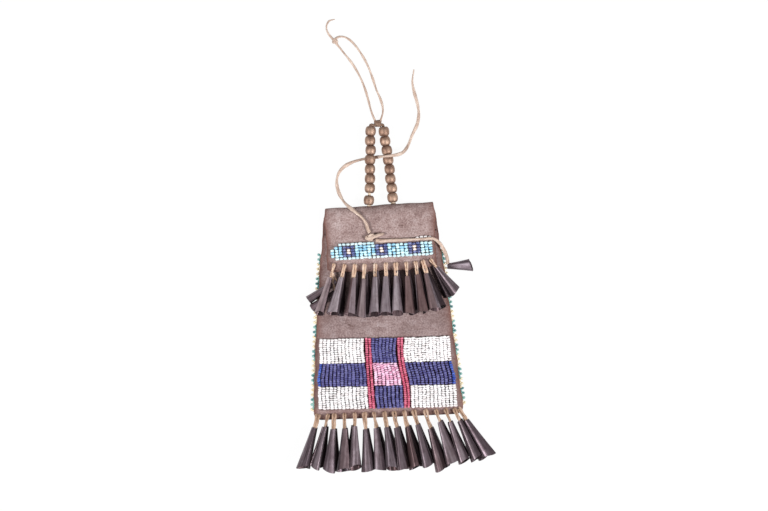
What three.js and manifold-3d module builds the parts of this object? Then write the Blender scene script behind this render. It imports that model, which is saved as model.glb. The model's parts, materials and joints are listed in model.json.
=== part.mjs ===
// A strike-a-light bag: a flat hide pouch with a folded flap, lane-stitched beadwork, rows of rolled
// tin tinklers on hide thongs, a strap threaded with brass beads, and long tie thongs.
// Millimetres. The bag lies on its back: +X to the right, +Y towards the strap, +Z out of the front.
// The origin is the middle of the back face, which rests on z = 0.
import * as THREE from "three";
import { mergeVertices } from "three/addons/utils/BufferGeometryUtils.js";
import Module from "manifold-3d";

const wasm = await Module();
wasm.setup();

// Clearances
const GAP = 0.3;
const TABLE_GAP = 0.1;
const STACK_GAP = 0.5;

// Leather pouch
const BAG_HEIGHT = 127.6;
const FOLD_HALF_WIDTH = 32.4;
const HEM_HALF_WIDTH = 44.9;
const HEM_CORNER_RADIUS = 5;
const LEATHER = 1.6;
const POCKET_DEPTH = 5.4;
const EDGE_THICKNESS = 3.6;
const EDGE_ROUNDING = 1;
const SEAM = 1.8;
const HEM_RISE_LENGTH = 22;
const CROWN_LENGTH = 6.8;
const CROWN_SWEEP_DEGREES = 80;
const MOUTH_LENGTH = 10;
const HIDE_COLUMNS = 8;
const HIDE_ROWS = 8;
const FOLD_ROWS = 5;

// Flap
const FLAP_LENGTH = 39.3;
const FLAP_CORNER_RISE = 1.8;

// Beadwork on the front, measured up from the hem and out from the middle
const BEAD_DIAMETER = 2;
const BEAD_VALLEY = 0.9;
const BEADWORK_HEM_MARGIN = 4.7;
const BEADWORK_SIDE_MARGIN = 2.1;
const BEAD_ROW_HEIGHTS = [14.3, 13.8, 15];
const SIDE_LANES = 12;
const CENTRE_LANES = 7;
const STRIPE_LANES = 2;
const STRIPE_WIDTH = 3.8;
const STRIPE_FACET_ROWS = 6;
const LEFT_STRIPE_TOP = -12.6;
const LEFT_STRIPE_BOTTOM = -11.7;
const RIGHT_STRIPE_TOP = 7.8;
const RIGHT_STRIPE_BOTTOM = 9.7;

// Bead edging along the sewn sides
const EDGING_RADIUS = 0.95;
const EDGING_WAIST = 0.75;
const EDGING_SIDES = 6;
const EDGING_GROUP = 13.8;
const EDGING_GROUPS = 7;
const EDGING_HEM_MARGIN = 6;

// Beadwork on the flap, measured up from the flap's lower edge
const STRIP_EDGE_MARGIN = 8;
const STRIP_HEIGHT = 8.4;
const STRIP_LEFT_MARGIN = 2.3;
const STRIP_RIGHT_MARGIN = 1.2;
const STRIP_LANES = 25;
const SQUARE_LANES = 3;
const LANES_BETWEEN_SQUARES = 5;
const SQUARE_RAISE = 1.8;

// Tinklers: rolled tin cones on hide thongs
const TIN = 0.4;
const CONE_TOP_RADIUS = 1.25;
const CONE_MOUTH_RADIUS = 3.25;
const CONE_SIDES = 7;
const THONG_RADIUS = 0.95;
const THONG_SIDES = 6;
const KNOT_IN_CONE = 3;
const KNOT_RADIUS = 0.8;
const HEM_HOLE_INSET = 2.8;
const HEM_HOLE_MARGIN = 2.4;
const HEM_CONE_LENGTH = 24.8;
const HEM_CONE_SPACING = 0.8;
const HEM_FAN_SHIFT = 2.3;
const FLAP_HOLE_INSET = 3.6;
const FLAP_HOLE_MARGIN = 2.6;
const FLAP_CONE_LENGTH = 22.5;
const FLAP_CONE_SPACING = 1.1;
const FLAP_FAN_SHIFT = -0.3;

// Each row: where along the edge the thong hangs (-1 to 1), how long the thong is down to its cones,
// and how far the mouths stray from an even fan
const HEM_TINKLERS = [
  [-1, 7, -0.3],
  [-0.86, 6.8, -0.3],
  [-0.77, 8.1, 0.4],
  [-0.62, 8.1, 2],
  [-0.48, 6.8, 2.2],
  [-0.34, 9, 2.2],
  [-0.2, 8.7, 2],
  [-0.06, 8.5, 1.9],
  [0.08, 8.9, 1.6],
  [0.22, 8.7, 1.2],
  [0.36, 7.8, 1.5],
  [0.52, 10.6, 1.9],
  [0.67, 6.8, 1.6],
  [0.81, 7.4, 1.5],
  [0.94, 6.8, 1.6],
  [1, 7.4, 1.9],
];
const FLAP_TINKLERS = [
  [-0.96, 7.6, 0],
  [-0.75, 6.8, 0.2],
  [-0.54, 6.8, 2.6],
  [-0.34, 7.8, 1.8],
  [-0.13, 6.8, 2],
  [0.08, 6.8, 1.4],
  [0.28, 6.8, 0.9],
  [0.49, 7.2, 0.5],
  [0.68, 6.8, 0.9],
  [0.83, 6.8, 0.7],
  [0.99, 6.8, 9],
];

// Strap of brass beads
const BRASS_RADIUS = 3.25;
const BRASS_END_RADIUS = 2.3;
const BRASS_LENGTH = 5.7;
const BRASS_SHOULDER = 1.7;
const BRASS_SIDES = 8;
const LEFT_STRING_COUNT = 7;
const RIGHT_STRING_COUNT = 8;
const LEFT_STRING_GAP = 1.5;
const RIGHT_STRING_RISE = 1.3;
const STRING_CLEARANCE = 0.85;
const LEG_SPLAY = 3.2;
const STRAP_CENTRE = 1.3;
const STRAP_THONG_RADIUS = 0.8;
const STRAP_THONG_SIDES = 6;
const STOPPER_RADIUS = 1.25;
const STOPPER_INSET = 5.2;
const BINDING_RADIUS = 2.1;
const BINDING_END_RADIUS = 1.7;
const BINDING_LENGTH = 4.6;
const BINDING_SHOULDER = 1.2;
const BINDING_SIDES = 8;

// Tie and closing thongs
const TIE_RADIUS = 0.7;
const TIE_KNOT_RADIUS = 1.7;
const TIE_KNOT_X = -22;
const TIE_KNOT_Y = 163.6;
const CLOSING_RADIUS = 1;
const CLOSING_KNOT_X = -6.4;
const CLOSING_KNOT_RISE = 3.7;
const CLOSING_KNOT_SIZE = new THREE.Vector3(2.9, 2.1, 1.3);
const CLOSING_STUB = new THREE.Vector3(8.5, 0.8, 0.1);
const CLOSING_CONE_LENGTH = 13.6;
const CORD_SIDES = 8;
const CORD_STEP_DIAMETERS = 2.5;
const KNOT_SIDES = 8;
const KNOT_ROWS = 6;

// Routes of the thongs that lie free, chosen by hand
const TIE_OUTER_ROUTE = [
  [3.5, 116.8, 2.8],
  [4.7, 118.2, 2.4],
  [4.8, 122.6, 1.4],
  [3.6, 127.8, 0.8],
  [1.5, 133.2, 0.8],
  [-0.8, 141.4, 0.8],
  [-3.7, 149.6, 0.8],
  [-8.2, 157.9, 0.8],
  [-12.7, 163.6, 0.8],
  [-16.6, 166, 0.9],
  [-19.6, 165.7, 1.2],
];
const TIE_INNER_ROUTE = [
  [-0.9, 116.8, 2.8],
  [-1.7, 118.2, 2.4],
  [-2.7, 122.5, 1.4],
  [-3.7, 127.4, 0.8],
  [-5.5, 134.6, 0.8],
  [-7.9, 141.2, 0.8],
  [-11.8, 148.9, 0.8],
  [-16.9, 156.1, 0.8],
  [-20.3, 160.8, 1.1],
  [-22.2, 163.4, 1.7],
  [-24.2, 166, 1.2],
  [-26.2, 169, 0.8],
  [-26.9, 172.6, 0.8],
  [-25.2, 175.9, 0.8],
  [-21.6, 176.9, 0.8],
];
const CLOSING_FREE_ROUTE = [
  [-6.4, 47.3, 11.9],
  [-7.4, 49.6, 11.9],
  [-8.4, 53, 11.9],
  [-10.9, 57, 11.8],
  [-15, 60.7, 11],
  [-19.4, 64.7, 7.2],
  [-22.2, 68.6, 2.3],
  [-24.2, 73.4, 1.1],
  [-24.9, 79.2, 1.1],
  [-23.5, 84.1, 1.1],
  [-20.4, 87.6, 1.1],
  [-15.2, 90.3, 1.1],
  [-9.3, 91.8, 1.1],
  [-5, 92.3, 1.1],
  [-3, 92.5, 1.25],
  [-1.3, 92.6, 1.95],
  [0.2, 92.7, 3.2],
  [1.5, 92.7, 4.9],
  [2.9, 92.8, 6.6],
  [4.6, 92.8, 7.7],
  [7, 92.9, 8.1],
  [9.6, 93.1, 7.8],
  [12.8, 93.6, 6.2],
  [15.9, 95, 3.9],
  [18.9, 98.8, 1.5],
  [21.8, 105.2, 1.1],
  [25.1, 111.6, 1.1],
  [26.3, 118.1, 1.1],
  [25.6, 124.5, 1.1],
  [24.2, 130.6, 1.1],
  [23.3, 136.9, 1.1],
  [24.6, 144.6, 1.1],
];
const CLOSING_RUN_ROUTE = [
  [-3, 42.7, 12],
  [0, 42.3, 11.9],
  [5, 42.3, 11.9],
  [10, 42.3, 11.8],
  [17.8, 42.3, 11.3],
  [25.5, 42.3, 10.1],
  [31.5, 42.1, 8.8],
  [35.4, 39.1, 7],
  [38, 34.2, 5],
  [39.5, 29.6, 2.8],
  [39.6, 26.6, 1.9],
];

// Values worked out from the sizes above
const FOLD_Y = BAG_HEIGHT / 2;
const HEM_Y = -BAG_HEIGHT / 2;
const MIDDLE_THICKNESS = 2 * LEATHER + POCKET_DEPTH;
const HINGE_Y = FOLD_Y - CROWN_LENGTH;
const MOUTH_Y = HINGE_Y - MOUTH_LENGTH;
const FLAP_EDGE_Y = FOLD_Y - FLAP_LENGTH;
const FLAP_HALF_WIDTH = FOLD_HALF_WIDTH;
const BEADWORK_Y = HEM_Y + BEADWORK_HEM_MARGIN;
const BEADWORK_HEIGHT = BEAD_ROW_HEIGHTS.reduce((sum, height) => sum + height, 0);
const BEADWORK_TOP = BEADWORK_Y + BEADWORK_HEIGHT;
const STRIP_BOTTOM = FLAP_EDGE_Y + STRIP_EDGE_MARGIN;
const STRIP_TOP = STRIP_BOTTOM + STRIP_HEIGHT;
const STRIP_LEFT = STRIP_LEFT_MARGIN - FLAP_HALF_WIDTH;
const STRIP_RIGHT = FLAP_HALF_WIDTH - STRIP_RIGHT_MARGIN;
const STRIP_LANE = (STRIP_RIGHT - STRIP_LEFT) / STRIP_LANES;
const SQUARE_BOTTOM = STRIP_BOTTOM + SQUARE_RAISE;
const SQUARE_WIDTH = SQUARE_LANES * STRIP_LANE - 2 * GAP;
const SQUARE_PITCH = (SQUARE_LANES + LANES_BETWEEN_SQUARES) * STRIP_LANE;
const SQUARE_CENTRES = [-1, 0, 1].map((step) => (STRIP_LEFT + STRIP_RIGHT) / 2 + step * SQUARE_PITCH);
const HEM_CONE_PITCH = 2 * CONE_MOUTH_RADIUS + HEM_CONE_SPACING;
const FLAP_CONE_PITCH = 2 * CONE_MOUTH_RADIUS + FLAP_CONE_SPACING;
const STRAP_Z = BRASS_RADIUS + TABLE_GAP;
const LEFT_LEG_Z = STRAP_Z + 2 * CLOSING_RADIUS + GAP;
const LEFT_STRING_RISE = GAP + BRASS_LENGTH + LEFT_STRING_GAP;
const LEFT_STRING_END = LEFT_STRING_RISE + LEFT_STRING_COUNT * BRASS_LENGTH;
const RIGHT_STRING_END = RIGHT_STRING_RISE + RIGHT_STRING_COUNT * BRASS_LENGTH;
const STRING_END = Math.max(LEFT_STRING_END, RIGHT_STRING_END);
const LEG_LENGTH = STRING_END + STRAP_THONG_RADIUS + GAP;
const LEG_SPREAD_AT_TOP = BRASS_RADIUS + STRING_CLEARANCE;
const LEG_SPREAD_AT_FOLD = LEG_SPREAD_AT_TOP + LEG_SPLAY;
const BINDING_RISE = STRING_END + GAP + BINDING_LENGTH / 2;

// Materials
const finish = (color, roughness, metalness = 0) =>
  new THREE.MeshStandardMaterial({ color, roughness, metalness });
const hide = finish(0x6b5549, 0.85);
const thongHide = finish(0xb08a5c, 0.8);
const tin = finish(0x5d564f, 0.45, 0.8);
const brass = finish(0x7d6435, 0.4, 0.9);
const whiteGlass = finish(0xd9d3c4, 0.3);
const navyGlass = finish(0x1b2340, 0.25);
const redGlass = finish(0x9c2440, 0.3);
const pinkGlass = finish(0xd8b3ac, 0.3);
const turquoiseGlass = finish(0x6fa7b3, 0.3);
const edgingGlass = finish(0x8fa37c, 0.3);

// Shape helpers
function toSolid(geometry) {
  const plain = geometry.clone();
  plain.deleteAttribute("normal");
  plain.deleteAttribute("uv");
  const merged = mergeVertices(plain, 1e-4);
  const vertProperties = new Float32Array(merged.attributes.position.array);
  const triVerts = new Uint32Array(merged.index.array);
  return new wasm.Manifold(new wasm.Mesh({ numProp: 3, vertProperties, triVerts }));
}

function toGeometry(solid) {
  const mesh = solid.getMesh();
  const geometry = new THREE.BufferGeometry();
  geometry.setAttribute("position", new THREE.BufferAttribute(mesh.vertProperties, 3));
  geometry.setIndex(new THREE.BufferAttribute(mesh.triVerts, 1));
  geometry.computeVertexNormals();
  return geometry;
}

function join(geometries) {
  return toGeometry(geometries.map(toSolid).reduce((whole, next) => whole.add(next)));
}

function cut(geometry, cutters) {
  return toGeometry(cutters.map(toSolid).reduce((rest, cutter) => rest.subtract(cutter), toSolid(geometry)));
}

// A slab made from a subdivided box: place(u, v, w) gives each corner's point, with u, v, w from 0 to 1
function slab(columns, rows, place) {
  const geometry = new THREE.BoxGeometry(1, 1, 1, columns, rows, 1);
  const position = geometry.attributes.position;
  for (let i = 0; i < position.count; i += 1) {
    const point = place(position.getX(i) + 0.5, position.getY(i) + 0.5, position.getZ(i) + 0.5);
    position.setXYZ(i, point.x, point.y, point.z);
  }
  return geometry;
}

function polygon(radius, sides) {
  const corners = [];
  for (let i = 0; i < sides; i += 1) {
    const angle = (2 * Math.PI * i) / sides;
    corners.push(new THREE.Vector2(radius * Math.cos(angle), radius * Math.sin(angle)));
  }
  return new THREE.Shape(corners);
}

function tube(points, radius, sides, steps) {
  const extrudePath = points.length === 2
    ? new THREE.LineCurve3(points[0], points[1])
    : new THREE.CatmullRomCurve3(points, false, "centripetal");
  return new THREE.ExtrudeGeometry(polygon(radius, sides), { extrudePath, steps });
}

function cord(route, radius) {
  const points = route.map((point) => new THREE.Vector3(...point));
  const length = new THREE.CatmullRomCurve3(points, false, "centripetal").getLength();
  const steps = Math.ceil(length / (CORD_STEP_DIAMETERS * 2 * radius));
  return tube(points, radius, CORD_SIDES, steps);
}

// A turned piece: the profile is given as [radius, distance along the axis from start towards end]
function turned(profile, sides, start, end) {
  const points = profile.map(([radius, along]) => new THREE.Vector2(radius, along));
  points.push(points[0].clone());
  const geometry = new THREE.LatheGeometry(points, sides);
  const direction = end.clone().sub(start).normalize();
  const turn = new THREE.Quaternion().setFromUnitVectors(new THREE.Vector3(0, 1, 0), direction);
  return geometry.applyQuaternion(turn).translate(start.x, start.y, start.z);
}

function egg(centre, size) {
  const geometry = new THREE.SphereGeometry(1, KNOT_SIDES, KNOT_ROWS);
  return geometry.scale(size.x, size.y, size.z).translate(centre.x, centre.y, centre.z);
}

// The pouch's outline and its crowned front
function halfWidthAt(y) {
  const share = (y - HEM_Y) / BAG_HEIGHT;
  return THREE.MathUtils.lerp(HEM_HALF_WIDTH, FOLD_HALF_WIDTH, share);
}

function roundedHalfWidthAt(y) {
  const reach = Math.min(Math.max(HEM_CORNER_RADIUS - (y - HEM_Y), 0), HEM_CORNER_RADIUS);
  const inset = HEM_CORNER_RADIUS - Math.sqrt(HEM_CORNER_RADIUS ** 2 - reach ** 2);
  return halfWidthAt(y) - inset;
}

function frontAt(x, y) {
  const across = Math.min(Math.abs(x) / halfWidthAt(y), 1);
  const up = THREE.MathUtils.clamp((y - HEM_Y) / HEM_RISE_LENGTH, 0, 1);
  const rise = (1 - across ** 3) * (1 - (1 - up) ** 2);
  return EDGE_THICKNESS + (MIDDLE_THICKNESS - EDGE_THICKNESS) * rise;
}

const flapTopAt = (x, y) => frontAt(x, y) + GAP + LEATHER;

const spread = (u) => Math.sin((u - 0.5) * Math.PI);

// Pouch: a hollow folded hide, closed at the hem and sides, with a mouth under the flap
function pouchBody(inset, wall, topY) {
  return slab(HIDE_COLUMNS, HIDE_ROWS, (u, v, w) => {
    const startY = HEM_Y + inset;
    const y = startY + (topY - startY) * v ** 2;
    const x = spread(u) * (roundedHalfWidthAt(y) - inset);
    const onRim = u === 0 || u === 1 || v === 0;
    const rounding = wall === 0 && onRim ? EDGE_ROUNDING : 0;
    const top = frontAt(x, y) - wall - rounding;
    return new THREE.Vector3(x, y, w === 1 ? top : wall + rounding);
  });
}

function crown(inset, wall, startY) {
  const sweep = THREE.MathUtils.degToRad(CROWN_SWEEP_DEGREES);
  const reach = FOLD_Y - wall - startY;
  return slab(HIDE_COLUMNS, FOLD_ROWS, (u, v, w) => {
    const y = startY + (reach * Math.sin(v * sweep)) / Math.sin(sweep);
    const x = spread(u) * (halfWidthAt(y) - inset);
    const height = flapTopAt(x, HINGE_Y);
    const onRim = u === 0 || u === 1;
    const rounding = wall === 0 && onRim ? EDGE_ROUNDING : 0;
    const half = (height / 2 - wall - rounding) * Math.cos(v * sweep);
    return new THREE.Vector3(x, y, height / 2 + (w === 1 ? half : -half));
  });
}

// A point on one leg of the strap. The left leg lies on the closing thong and the right leg on the table.
function legPoint(side, rise) {
  const half = THREE.MathUtils.lerp(LEG_SPREAD_AT_FOLD, LEG_SPREAD_AT_TOP, rise / LEG_LENGTH);
  return new THREE.Vector3(STRAP_CENTRE + side * half, FOLD_Y + rise, side < 0 ? LEFT_LEG_Z : STRAP_Z);
}

function pouch() {
  const overlap = LEATHER / 4;
  const shell = join([pouchBody(0, 0, HINGE_Y + overlap), crown(0, 0, HINGE_Y)]);
  const mouth = slab(1, 1, (u, v, w) => {
    const y = MOUTH_Y + v * (HINGE_Y - MOUTH_Y);
    const x = (2 * u - 1) * (halfWidthAt(HINGE_Y) - SEAM);
    return new THREE.Vector3(x, y, w === 1 ? 2 * MIDDLE_THICKNESS : EDGE_THICKNESS / 2);
  });
  const strapHoles = [-1, 1].map((side) =>
    tube([legPoint(side, -STOPPER_INSET), legPoint(side, BRASS_LENGTH)],
      STRAP_THONG_RADIUS + GAP, STRAP_THONG_SIDES, 1));
  const hollow = [
    pouchBody(SEAM, LEATHER, HINGE_Y + overlap),
    crown(SEAM, LEATHER, HINGE_Y - overlap),
    mouth,
  ];
  return cut(shell, [...hollow, ...strapHoles]);
}

// Flap: a hide plate that follows the crowned front
function flapEdgeAt(x) {
  return FLAP_EDGE_Y + FLAP_CORNER_RISE * Math.abs(x / FLAP_HALF_WIDTH) ** 4;
}

function flap() {
  return slab(HIDE_COLUMNS, FOLD_ROWS, (u, v, w) => {
    const x = spread(u) * FLAP_HALF_WIDTH;
    const y = THREE.MathUtils.lerp(flapEdgeAt(x), HINGE_Y - GAP, v);
    return new THREE.Vector3(x, y, flapTopAt(x, y) - (w === 1 ? 0 : LEATHER));
  });
}

// Beadwork: a slab of half-round lanes on a curved surface
function lanes(count, rows, leftAt, rightAt, bottom, top, surfaceAt) {
  return slab(2 * count, rows, (u, v, w) => {
    const y = THREE.MathUtils.lerp(bottom, top, v);
    const x = THREE.MathUtils.lerp(leftAt(y), rightAt(y), u);
    const onCrest = Math.round(2 * count * u) % 2 === 1;
    const height = onCrest ? BEAD_DIAMETER : BEAD_VALLEY;
    return new THREE.Vector3(x, y, surfaceAt(x, y) + GAP + w * height);
  });
}

const slantLine = (topX, bottomX) => (y) =>
  THREE.MathUtils.mapLinear(y, BEADWORK_Y, BEADWORK_TOP, bottomX, topX);
const shifted = (line, offset) => (y) => line(y) + offset;
const leftSide = (y) => BEADWORK_SIDE_MARGIN - halfWidthAt(y);
const rightSide = (y) => halfWidthAt(y) - BEADWORK_SIDE_MARGIN;
const leftStripe = slantLine(LEFT_STRIPE_TOP, LEFT_STRIPE_BOTTOM);
const rightStripe = slantLine(RIGHT_STRIPE_TOP, RIGHT_STRIPE_BOTTOM);

function frontBeadwork() {
  const pieces = [];
  const columns = [
    ["left", SIDE_LANES, leftSide, shifted(leftStripe, -GAP)],
    ["centre", CENTRE_LANES, shifted(leftStripe, STRIPE_WIDTH + GAP), shifted(rightStripe, -GAP)],
    ["right", SIDE_LANES, shifted(rightStripe, STRIPE_WIDTH + GAP), rightSide],
  ];
  const rowNames = ["lower", "middle", "upper"];
  let bottom = BEADWORK_Y;
  rowNames.forEach((rowName, row) => {
    const top = bottom + BEAD_ROW_HEIGHTS[row];
    columns.forEach(([columnName, count, leftAt, rightAt]) => {
      const navy = (columnName === "centre") !== (rowName === "middle");
      const pink = columnName === "centre" && rowName === "middle";
      const colourName = pink ? "pink" : navy ? "navy" : "white";
      const material = pink ? pinkGlass : navy ? navyGlass : whiteGlass;
      const facetRows = row === 0 ? 2 : 1;
      const geometry = lanes(count, facetRows, leftAt, rightAt, bottom, top - GAP, frontAt);
      pieces.push([`${colourName}_beads_${rowName}_${columnName}`, geometry, material]);
    });
    bottom = top;
  });
  const top = BEADWORK_TOP - GAP;
  [["left", leftStripe], ["right", rightStripe]].forEach(([sideName, line]) => {
    const edge = shifted(line, STRIPE_WIDTH);
    const geometry = lanes(STRIPE_LANES, STRIPE_FACET_ROWS, line, edge, BEADWORK_Y, top, frontAt);
    pieces.push([`red_bead_stripe_${sideName}`, geometry, redGlass]);
  });
  return pieces;
}

function edging(side) {
  const centreAt = (y) => new THREE.Vector3(
    side * (halfWidthAt(y) + GAP + EDGING_RADIUS), y, EDGE_THICKNESS / 2);
  const startY = HEM_Y + EDGING_HEM_MARGIN;
  const profile = [[0, 0]];
  for (let group = 0; group < EDGING_GROUPS; group += 1) {
    profile.push([EDGING_WAIST, group * EDGING_GROUP]);
    profile.push([EDGING_RADIUS, (group + 0.5) * EDGING_GROUP]);
  }
  profile.push([EDGING_WAIST, EDGING_GROUPS * EDGING_GROUP]);
  profile.push([0, EDGING_GROUPS * EDGING_GROUP]);
  return turned(profile, EDGING_SIDES, centreAt(startY), centreAt(FOLD_Y));
}

// Beadwork on the flap: a strip with square notches, and the squares that fill them
function flapStrip() {
  const left = () => STRIP_LEFT;
  const right = () => STRIP_RIGHT;
  const strip = lanes(STRIP_LANES, 1, left, right, STRIP_BOTTOM, STRIP_TOP, flapTopAt);
  const notches = SQUARE_CENTRES.map((centre) => slab(1, 1, (u, v, w) => new THREE.Vector3(
    centre + (u - 0.5) * (SQUARE_WIDTH + 2 * GAP),
    SQUARE_BOTTOM - GAP + v * 2 * STRIP_HEIGHT,
    w * 4 * MIDDLE_THICKNESS)));
  return cut(strip, notches);
}

function flapSquare(centre) {
  const left = centre - SQUARE_WIDTH / 2;
  const right = centre + SQUARE_WIDTH / 2;
  return lanes(SQUARE_LANES, 1, () => left, () => right, SQUARE_BOTTOM, STRIP_TOP, flapTopAt);
}

// Tinklers: each thong hangs from one hole and splits past the edge into two strands, each knotted
// inside a cone, with one cone lying on the other. The geometry is made around the hole, so that the
// mesh's position is the point it swings about.
function cone(top, mouth, strandLength = 0) {
  const end = strandLength + top.distanceTo(mouth);
  const strand = strandLength > 0 ? [[THONG_RADIUS, 0], [THONG_RADIUS, strandLength]] : [];
  const profile = [
    [0, 0],
    ...strand,
    [CONE_TOP_RADIUS, strandLength],
    [CONE_MOUTH_RADIUS, end],
    [CONE_MOUTH_RADIUS - TIN, end],
    [KNOT_RADIUS, strandLength + KNOT_IN_CONE],
    [0, strandLength + KNOT_IN_CONE],
  ];
  const towardsMouth = mouth.clone().sub(top).normalize();
  return turned(profile, CONE_SIDES, top.clone().addScaledVector(towardsMouth, -strandLength), mouth);
}

function tinkler(hole, mouthX, thongLength, coneLength, edgeInset, restAt) {
  const reach = thongLength + coneLength;
  const sideways = mouthX - hole.x;
  const direction = new THREE.Vector2(sideways, -Math.sqrt(reach ** 2 - sideways ** 2)).normalize();
  const at = (distance, z) => new THREE.Vector3(direction.x * distance, direction.y * distance, z - hole.z);
  const restUnder = (distance, radius) => {
    const x = hole.x + direction.x * distance;
    const inward = Math.sign(x) * Math.max(Math.abs(x) - radius, 0);
    return restAt(inward, hole.y + direction.y * distance) + radius;
  };

  const lowerMouth = at(reach, restUnder(reach, CONE_MOUTH_RADIUS));
  const lowerTop = at(thongLength, restUnder(thongLength, CONE_TOP_RADIUS));
  const upperMouth = lowerMouth.clone().setZ(lowerMouth.z + 2 * CONE_MOUTH_RADIUS + STACK_GAP);
  const hang = upperMouth.length() - coneLength;
  const alongUpper = (distance) => upperMouth.clone().setLength(distance);
  const lowerThongEnd = lowerTop.clone().lerp(lowerMouth, THONG_RADIUS / coneLength);
  const split = alongUpper(edgeInset + 2 * THONG_RADIUS);
  return join([
    cone(alongUpper(hang), upperMouth, hang),
    tube([split, lowerThongEnd], THONG_RADIUS, THONG_SIDES, 1),
    cone(lowerTop, lowerMouth),
  ]);
}

const twoDigits = (index) => String(index + 1).padStart(2, "0");

function tinklerRow(name, table, pitch, fanShift, holeAt, coneLength, edgeInset, restAt) {
  const middle = (table.length - 1) / 2;
  return table.map(([share, thongLength, stray], index) => {
    const hole = holeAt(share);
    const mouthX = (index - middle) * pitch + fanShift + stray;
    const geometry = tinkler(hole, mouthX, thongLength, coneLength, edgeInset, restAt);
    return [`${name}_${twoDigits(index)}`, geometry, tin, hole];
  });
}

function hemHole(share) {
  const y = HEM_Y + HEM_HOLE_INSET;
  const x = share * (HEM_HALF_WIDTH - HEM_HOLE_MARGIN);
  return new THREE.Vector3(x, y, frontAt(x, y) + GAP + THONG_RADIUS);
}

function flapHole(share) {
  const x = share * (FLAP_HALF_WIDTH - FLAP_HOLE_MARGIN);
  const y = flapEdgeAt(x) + FLAP_HOLE_INSET;
  return new THREE.Vector3(x, y, flapTopAt(x, y) + GAP + THONG_RADIUS);
}

// Strap: a thong in two legs with stopper knots inside the fold and a binding at the top
function brassString(side, rise, count) {
  const start = legPoint(side, rise);
  const bore = STRAP_THONG_RADIUS + GAP;
  const profile = [];
  for (let bead = 0; bead < count; bead += 1) {
    profile.push([BRASS_END_RADIUS, bead * BRASS_LENGTH]);
    profile.push([BRASS_RADIUS, bead * BRASS_LENGTH + BRASS_SHOULDER]);
    profile.push([BRASS_RADIUS, (bead + 1) * BRASS_LENGTH - BRASS_SHOULDER]);
  }
  profile.push([BRASS_END_RADIUS, count * BRASS_LENGTH]);
  profile.push([bore, count * BRASS_LENGTH]);
  profile.push([bore, 0]);
  return turned(profile, BRASS_SIDES, start, legPoint(side, LEG_LENGTH));
}

function strapThong() {
  const bindingCentre = new THREE.Vector3(STRAP_CENTRE, FOLD_Y + BINDING_RISE, STRAP_Z);
  const strand = (start, end) => tube([start, end], STRAP_THONG_RADIUS, STRAP_THONG_SIDES, 1);
  const legs = [-1, 1].flatMap((side) => [
    strand(legPoint(side, -STOPPER_INSET), legPoint(side, LEG_LENGTH)),
    strand(legPoint(side, LEG_LENGTH), bindingCentre),
  ]);
  const stopperSize = new THREE.Vector3(STOPPER_RADIUS, STOPPER_RADIUS, STOPPER_RADIUS);
  const stoppers = [-1, 1].map((side) => egg(legPoint(side, -STOPPER_INSET), stopperSize));
  const half = new THREE.Vector3(0, BINDING_LENGTH / 2, 0);
  const binding = turned([
    [0, 0],
    [BINDING_END_RADIUS, 0],
    [BINDING_RADIUS, BINDING_SHOULDER],
    [BINDING_RADIUS, BINDING_LENGTH - BINDING_SHOULDER],
    [BINDING_END_RADIUS, BINDING_LENGTH],
    [0, BINDING_LENGTH],
  ], BINDING_SIDES, bindingCentre.clone().sub(half), bindingCentre.clone().add(half));
  return join([...legs, ...stoppers, binding]);
}

// Tie and closing thongs
function tieKnot() {
  const centre = new THREE.Vector3(TIE_KNOT_X, TIE_KNOT_Y, TIE_KNOT_RADIUS + TABLE_GAP);
  const size = new THREE.Vector3(TIE_KNOT_RADIUS, TIE_KNOT_RADIUS, TIE_KNOT_RADIUS);
  return cut(egg(centre, size), [cord(TIE_INNER_ROUTE, TIE_RADIUS + GAP)]);
}

function closingKnot() {
  const y = STRIP_TOP + CLOSING_KNOT_RISE;
  const z = flapTopAt(CLOSING_KNOT_X, y) + GAP + CLOSING_KNOT_SIZE.z;
  const centre = new THREE.Vector3(CLOSING_KNOT_X, y, z);
  const stub = tube([centre, centre.clone().add(CLOSING_STUB)], CLOSING_RADIUS, CORD_SIDES, 1);
  return join([egg(centre, CLOSING_KNOT_SIZE), stub]);
}

function closingCone() {
  const [cordEndX, cordEndY] = CLOSING_RUN_ROUTE.at(-1);
  const y = cordEndY - GAP - CONE_TOP_RADIUS;
  const outside = halfWidthAt(y) + GAP + 2 * EDGING_RADIUS + GAP;
  const topX = Math.max(cordEndX, outside);
  return cone(
    new THREE.Vector3(topX, y, CONE_TOP_RADIUS + TABLE_GAP),
    new THREE.Vector3(topX + CLOSING_CONE_LENGTH, y, CONE_MOUTH_RADIUS + TABLE_GAP),
  );
}

// Assembly
const bag = new THREE.Group();

function place([name, geometry, material, position]) {
  const mesh = new THREE.Mesh(geometry, material);
  mesh.name = name;
  if (position) {
    mesh.position.copy(position);
  }
  bag.add(mesh);
}

const onTable = () => TABLE_GAP;
const onFront = (x, y) => frontAt(x, y) + GAP;

place(["pouch", pouch(), hide]);
place(["flap", flap(), hide]);
frontBeadwork().forEach(place);
place(["edge_beads_left", edging(-1), edgingGlass]);
place(["edge_beads_right", edging(1), edgingGlass]);
place(["flap_bead_strip", flapStrip(), turquoiseGlass]);
["left", "middle", "right"].forEach((sideName, index) => {
  place([`flap_bead_square_${sideName}`, flapSquare(SQUARE_CENTRES[index]), navyGlass]);
});
place(["strap_thong", strapThong(), thongHide]);
place(["brass_bead_left_lowest", brassString(-1, GAP, 1), brass]);
place(["brass_beads_left", brassString(-1, LEFT_STRING_RISE, LEFT_STRING_COUNT), brass]);
place(["brass_beads_right", brassString(1, RIGHT_STRING_RISE, RIGHT_STRING_COUNT), brass]);
place(["tie_thong_outer", cord(TIE_OUTER_ROUTE, TIE_RADIUS), thongHide]);
place(["tie_thong_inner", cord(TIE_INNER_ROUTE, TIE_RADIUS), thongHide]);
place(["tie_knot", tieKnot(), thongHide]);
place(["closing_knot", closingKnot(), thongHide]);
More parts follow.
